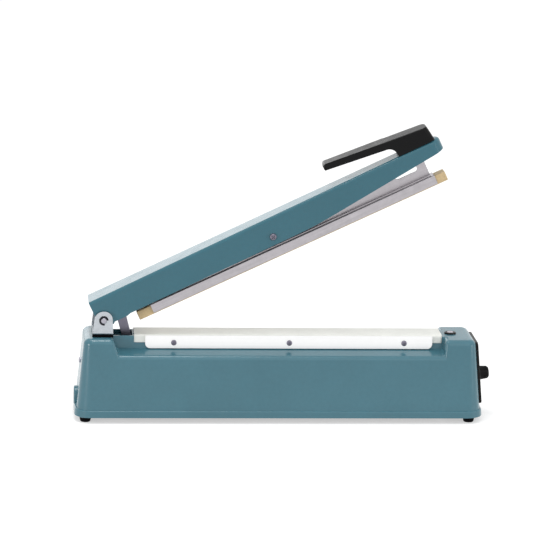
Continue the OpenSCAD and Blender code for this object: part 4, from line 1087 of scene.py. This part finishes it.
class SEALER_OT_spring(Operator):
    """Return spring that stretches between the base and the tongue"""

    bl_idname = "sealer.spring"
    bl_label = "Return spring"

    def execute(self, context):
        low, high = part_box("return_spring")
        wire, turns, rings, reach = 0.7 * MM, 24, 20, 9 * MM
        radius = (high.z - low.z) / 2 - wire
        centre = Vector((0, 0, (high.z + low.z) / 2))
        start, end = low.x + wire + reach / 8, high.x - wire - reach / 8
        inner = (end - start - 2 * reach) / (turns - 2)
        bm = bmesh.new()
        spot = Matrix.Translation((start, 0, centre.z + radius)) @ Matrix.Rotation(math.pi / 2, 4, "X")
        ring = bmesh.ops.create_circle(bm, segments=10, radius=wire, matrix=spot)["verts"]
        live = list({e for v in ring for e in v.link_edges}) + ring
        for count, step in ((1, reach), (turns - 2, inner), (1, reach)):
            live = bmesh.ops.spin(
                bm, geom=live, cent=centre, axis=-X, dvec=X * (step / rings), angle=FULL_TURN * count,
                steps=rings * count,
            )["geom_last"]
        bmesh.ops.remove_doubles(bm, verts=bm.verts, dist=MERGE)
        bmesh.ops.holes_fill(bm, edges=bm.edges)
        piece = piece_of(bm, "spring", "plated_steel", None, "return_spring", sharp=60)
        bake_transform(piece)
        dress("plated_steel", "spring_anchor", "anchor_screw")
        return {"FINISHED"}


class SEALER_OT_works(Operator):
    """Transformer, timer and switch inside the base"""

    bl_idname = "sealer.works"
    bl_label = "Inner works"

    def execute(self, context):
        dress("laminated_core", "transformer_core")
        dress("copper_winding", "transformer_coil")
        dress("plated_steel", "transformer_strap", "strap_screws", "switch_bracket")
        dress("board", "timer_board")
        dress("dark_steel", "board_parts", "timer_pot")
        dress("black_plastic", "switch_body")
        dress("brass", "element_terminals")
        return {"FINISHED"}


# Arm


def flange_level(along):
    """Lower edge of the arm's side flange, in millimetres from the pin."""
    corner, lobe, notch, low, tip = 6.0, -8.4, -6.8, -5.6, 10.2
    start, bend, reach, radius = -6.8, 250.0, 411.0, 400.0
    slope = math.atan((tip - low) / (reach - bend))
    touch = radius * math.tan(slope / 2)
    if along < start + corner:
        run = corner - (along - start)
        return lobe + corner - math.sqrt(max(corner * corner - run * run, 0))
    if along < bend - touch:
        for first, last, before, after in ((8, 10, lobe, notch), (25, 29, notch, low)):
            if along < first:
                return before
            if along < last:
                return before + (after - before) * (along - first) / (last - first)
        return low
    if along < bend + touch * math.cos(slope):
        run = along - bend + touch
        return low + radius - math.sqrt(radius * radius - run * run)
    return low + (along - bend) * math.tan(slope)


class SEALER_OT_arm(Operator):
    """Pressed arm with its hinge lobes and rising flange"""

    bl_idname = "sealer.arm"
    bl_label = "Arm"

    def execute(self, context):
        size = settings().arm
        tip, wide, below = size.tip_width / 2, size.back_width / 2, 14 * MM
        corners = [(size.back, -wide), (size.reach, -tip), (size.reach, tip), (size.back, wide)]
        bm = outline([(u, y, size.top) for u, y in corners])
        for u, y in corners[1:3]:
            round_corner(bm, (u, y, size.top), tip * 0.985, 14)
        lift(bm, bm.faces, (0, 0, -(size.top + below)))
        gone = [f for f in bm.faces if highest(f, 0) < size.back + TINY or highest(f) < TINY]
        bmesh.ops.delete(bm, geom=gone, context="FACES")
        bends = [-6.6, -6, -5, -3.6, -2.2, -0.8, 8, 10, 25, 29, *range(224, 280, 6), *range(290, 400, 20)]
        slices(bm, X, [along * MM for along in bends])
        for point in bm.verts:
            if point.co.z < 0:
                point.co.z = flange_level(point.co.x / MM) * MM
        widest = mark_widths(bm, {e: size.edge for e in sharp_edges(bm) if lowest(e) > size.top - TINY})
        bm.transform(ARM)
        # The arm's darker enamel is painted shade on its flanks.
        piece_of(bm, "arm", "arm_paint", "arm", "arm_shell", rounding=widest, steps=5, sheet=size.sheet)
        return {"FINISHED"}


class SEALER_OT_tongue(Operator):
    """Lift tongue that the spring pulls on"""

    bl_idname = "sealer.tongue"
    bl_label = "Lift tongue"

    def execute(self, context):
        half, top, low, thick = 5.2, 22.0, -46.0, 3 * MM

        def line(v):
            return 17.8 + (v + 8) * math.tan(math.radians(11))

        foot = [(line(low) - half, low), (line(low) + half, low)]
        tongue = side_outline(foot + [(line(top) + half, top), (line(top) - half, top)])
        for u, v in foot:
            round_corner(tongue, (u * MM, 0, v * MM), 3 * MM)
        bmesh.ops.translate(tongue, vec=(0, -thick / 2, 0), verts=tongue.verts)
        lift(tongue, tongue.faces, (0, thick, 0))
        soften(tongue, 0.4 * MM)
        tongue.transform(ARM)
        # The tongue's dark grey steel is partly painted shade, standing for the shadow it sits in under the
        # arm.
        piece_of(tongue, "tongue", "grey_steel_and_tongue_shade", "arm", "lift_tongue")
        return {"FINISHED"}


class SEALER_OT_bar(Operator):
    """Pressure bar with its carrier, channel and silicone strip"""

    bl_idname = "sealer.bar"
    bl_label = "Pressure bar"

    def execute(self, context):
        size = settings().arm
        along, up, hang = size.bolt_along, size.bolt_up, ARM_ANGLE - BAR_ANGLE
        closed = PIVOT.z + along * math.sin(CLOSED_ANGLE) + up * math.cos(CLOSED_ANGLE)
        bolt = along * math.sin(hang) + up * math.cos(hang)
        gap, stand, deep, edge = 1.15, 1.2, 10, 0.3 * MM
        face = (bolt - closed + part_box("release_cloth")[1].z) / MM + gap
        low = face + stand
        top = low + deep

        start, end, crest, web_half, foot_half = 59.5, 385, 17, 1.25 * MM, 6 * MM
        slot_start, slot_end, slot_low, slot_top = 349, 375, top + 10.5, top + 18.5
        web = side_outline(rectangle(start, top, end, crest))
        for u, radius in ((end, 2), (start, 4)):
            round_corner(web, (u * MM, 0, crest * MM), radius * MM)
        slot = side_outline(rectangle(slot_start, slot_low, slot_end, slot_top))
        for u in (slot_start, slot_end):
            for v in (slot_low, slot_top):
                round_corner(slot, (u * MM, 0, v * MM), 3 * MM)
        add_form(web, slot)
        refill(web)
        bmesh.ops.translate(web, vec=(0, -web_half, 0), verts=web.verts)
        lift(web, web.faces, (0, 2 * web_half, 0))
        bmesh.ops.recalc_face_normals(web, faces=web.faces)
        soften(web, edge, 2)
        foot = box_form((start * MM, -foot_half, top * MM), (end * MM, foot_half, (top + 1.5) * MM))
        soften(foot, edge, 2)
        add_form(web, foot)
        web.transform(BAR)
        piece_of(web, "carrier", "bar_aluminium", "pressure_bar", "bar_carrier")

        half, sheet, channel_start, channel_long = 9.5, 1.2, 51.5 * MM, 337 * MM
        inner, ceiling = half - sheet, top - sheet
        section = [(-half, low), (-half, top), (half, top), (half, low)]
        section += [(inner, low), (inner, ceiling), (-inner, ceiling), (-inner, low)]
        channel = outline([(channel_start, y * MM, v * MM) for y, v in section])
        lift(channel, channel.faces, (channel_long, 0, 0))
        bmesh.ops.recalc_face_normals(channel, faces=channel.faces)
        crown = [e for e in sharp_edges(channel) if lowest(e) > (top - 0.1) * MM]
        soften(channel, 0.9 * MM, edges=crown)
        skirt = [e for e in sharp_edges(channel) if highest(e) < (top - 2) * MM]
        soften(channel, 0.2 * MM, 2, skirt)
        channel.transform(BAR)
        piece_of(channel, "channel", "bar_aluminium", "pressure_bar", "bar_channel")

        rubber_half = 8.2 * MM
        rubber = box_form((34.5 * MM, -rubber_half, face * MM), (400.5 * MM, rubber_half, ceiling * MM))
        soften(rubber, 0.8 * MM)
        rubber.transform(BAR)
        piece_of(rubber, "pressure_strip", "silicone", "pressure_bar", "silicone_strip")
        return {"FINISHED"}


class SEALER_OT_bar_pivot(Operator):
    """Bolt, nut and sleeves that the bar rocks on"""

    bl_idname = "sealer.bar_pivot"
    bl_label = "Bar pivot"

    def execute(self, context):
        size = settings().arm
        share = (size.bolt_along - size.back) / (size.reach - size.tip_width / 2 - size.back)
        side = size.back_width / 2 + (size.tip_width - size.back_width) / 2 * share + 0.15 * MM
        spot, out = Vector((size.bolt_along, 0, size.bolt_up)), Vector((0, side, 0))
        bolt = screw_head(3.75 * MM, 2.4 * MM)
        bolt.transform(facing(spot - out, -Y) @ Matrix.Rotation(0.5, 4, "Z"))
        end = (side * 2 + 5 * MM) / MM
        shank = spun([(0, -0.5), (2.5, -0.5), (2.5, end - 0.6), (1.9, end), (0, end)], 32)
        add_form(bolt, shank, facing(spot - out, Y))
        bolt.transform(ARM)
        piece_of(bolt, "bar_bolt", "grey_steel_and_tongue_shade", "arm", "pivot_bolt")
        nut = bmesh.new()
        bmesh.ops.create_circle(nut, cap_ends=True, segments=6, radius=4.75 * MM)
        lift(nut, nut.faces, (0, 0, 4 * MM))
        soften(nut, 0.35 * MM, 2)
        nut.transform(ARM @ facing(spot + out, Y))
        piece_of(nut, "bar_nut", "plated_steel", "arm", "pivot_nut")
        dress("plated_steel", "pivot_spacers")
        return {"FINISHED"}


class SEALER_OT_handle(Operator):
    """Moulded grip on the tip of the arm"""

    bl_idname = "sealer.handle"
    bl_label = "Handle"

    def execute(self, context):
        start, block, seat, near_half, far_half = 283, 362, 24, 9.5, 13
        points = [(start, 43.5), (360.5, 35.5), (block, seat), (405, seat), (402.5, 40.55), (285, 50.5)]
        grip = side_outline(points)
        for (u, v), radius in zip(points, (1.5, 7, 0, 0, 0, 2)):
            if radius:
                round_corner(grip, (u * MM, 0, v * MM), radius * MM, 6)
        bmesh.ops.translate(grip, vec=(0, -MM, 0), verts=grip.verts)
        lift(grip, grip.faces, (0, 2 * MM, 0))
        slices(grip, X, [along * MM for along in range(296, 360, 12)])
        for point in grip.verts:
            share = min(max((point.co.x / MM - start) / (block - start), 0), 1)
            point.co.y *= near_half + (far_half - near_half) * share
        far_end = 402.4 * MM
        tip = [e for e in sharp_edges(grip) if lowest(e, 0) > far_end]
        upright = [e for e in tip if highest(e, 1) - lowest(e, 1) < TINY < highest(e) - lowest(e)]
        soften(grip, 6 * MM, 8, upright)
        widths = {}
        for edge in sharp_edges(grip):
            across = highest(edge, 1) - lowest(edge, 1) > TINY and highest(edge, 0) < far_end - 8 * MM
            if lowest(edge) > (seat + 0.5) * MM and not across:
                widths[edge] = 1.5 * MM
        widest = mark_widths(grip, widths)
        grip.transform(ARM)
        piece_of(grip, "grip", "black_plastic", "arm", "handle", rounding=widest, steps=5)
        dress("plated_steel", "handle_screws")
        return {"FINISHED"}


# Stage


def seen(tree):
    """1 where the camera looks, straight, by reflection or through a clear piece."""
    path = tree.nodes.new("ShaderNodeLightPath").outputs
    straight = node(tree, "Math", {0: path["Is Camera Ray"], 1: path["Is Glossy Ray"]}, operation="MAXIMUM")
    return node(tree, "Math", {0: straight, 1: path["Is Transmission Ray"]}, operation="MAXIMUM")


class SEALER_OT_stage(Operator):
    """Pale floor, soft light and camera"""

    bl_idname = "sealer.stage"
    bl_label = "Stage"

    def execute(self, context):
        scene = context.scene
        scene.view_settings.view_transform = "Standard"
        world = bpy.data.worlds.new("studio")
        scene.world = world
        world.use_nodes = True
        tree, white = world.node_tree, (1, 1, 1, 1)
        strength = node(tree, "MapRange", {"Value": seen(tree), "To Min": 0.85, "To Max": 1.0})
        feed(tree, tree.nodes["Background"], {"Color": white, "Strength": strength})

        bm = bmesh.new()
        bmesh.ops.create_grid(bm, x_segments=8, y_segments=8, size=6)
        mesh = bpy.data.meshes.new("bench")
        bm.to_mesh(mesh)
        bm.free()
        bench = bpy.data.objects.new("bench", mesh)
        scene.collection.objects.link(bench)
        material = bpy.data.materials.new("bench")
        material.use_nodes = True
        tree = material.node_tree
        surface = {"Base Color": (0.6, 0.6, 0.6, 1), "Roughness": 0.9, "Specular IOR Level": 0.0}
        glow = node(tree, "Math", {0: seen(tree), 1: 0.5}, operation="MULTIPLY")
        light = {"Emission Color": white, "Emission Strength": glow}
        feed(tree, tree.nodes["Principled BSDF"], {**surface, **light})
        mesh.materials.append(material)

        stage = settings().stage
        target = Vector(stage.target)
        lamps = (
            ("key", (-0.3, -0.2, 2.2), 0.8, 15.0),
            ("fill", (0.6, -1.7, 1.3), 1.6, 4.0),
            ("rear", (-0.8, 2.6, 0.8), 1.4, 6.0),
            ("left", (-1.5, -1.05, 0.25), 0.4, 6.0),
            ("right", (1.75, -0.85, 0.25), 0.4, 6.0),
        )
        for name, spot, wide, power in lamps:
            light = bpy.data.lights.new(name, "AREA")
            light.size, light.energy = wide, power
            lamp = bpy.data.objects.new(name, light)
            lamp.location = spot
            lamp.rotation_euler = (target - Vector(spot)).to_track_quat("-Z", "Y").to_euler()
            scene.collection.objects.link(lamp)

        lens = bpy.data.cameras.new("camera")
        lens.lens, lens.sensor_width, lens.clip_end = stage.lens, 36, 50
        camera = bpy.data.objects.new("camera", lens)
        flat = math.cos(stage.elevation)
        way = Vector(
            (math.sin(stage.azimuth) * flat, -math.cos(stage.azimuth) * flat, math.sin(stage.elevation))
        )
        camera.location = target + way * stage.distance
        look = (-way).to_track_quat("-Z", "Y") @ Quaternion((0, 0, 1), stage.roll)
        camera.rotation_euler = look.to_euler()
        scene.collection.objects.link(camera)
        scene.camera = camera
        return {"FINISHED"}


class SEALER_PT_pieces(Panel):
    """Lists the settings and pieces of the sealer"""

    bl_idname = "SEALER_PT_pieces"
    bl_label = "Impulse Sealer"
    bl_space_type = "VIEW_3D"
    bl_region_type = "UI"
    bl_category = "Sealer"

    def draw(self, context):
        for group in ("housing", "arm", "colours", "stage"):
            box = self.layout.box()
            values = getattr(context.scene.sealer, group)
            for name in values.__annotations__:
                box.prop(values, name)
        for operator in OPERATORS:
            self.layout.operator(operator.bl_idname)


GROUPS = (SealerHousing, SealerArm, SealerColours, SealerStage, SealerSettings)
OPERATORS = (
    SEALER_OT_stage,
    SEALER_OT_housing,
    SEALER_OT_feet,
    SEALER_OT_inlet,
    SEALER_OT_panel,
    SEALER_OT_knob,
    SEALER_OT_switch,
    SEALER_OT_bed,
    SEALER_OT_strips,
    SEALER_OT_hinge,
    SEALER_OT_spring,
    SEALER_OT_works,
    SEALER_OT_arm,
    SEALER_OT_tongue,
    SEALER_OT_bar,
    SEALER_OT_bar_pivot,
    SEALER_OT_handle,
)


def register():
    for part in GROUPS + OPERATORS + (SEALER_PT_pieces,):
        bpy.utils.register_class(part)
    bpy.types.Scene.sealer = PointerProperty(type=SealerSettings)


def unregister():
    del bpy.types.Scene.sealer
    for part in reversed(GROUPS + OPERATORS + (SEALER_PT_pieces,)):
        bpy.utils.unregister_class(part)


def main():
    register()
    for operator in OPERATORS:
        group, name = operator.bl_idname.split(".")
        getattr(getattr(bpy.ops, group), name)()


if __name__ == "__main__":
    main()
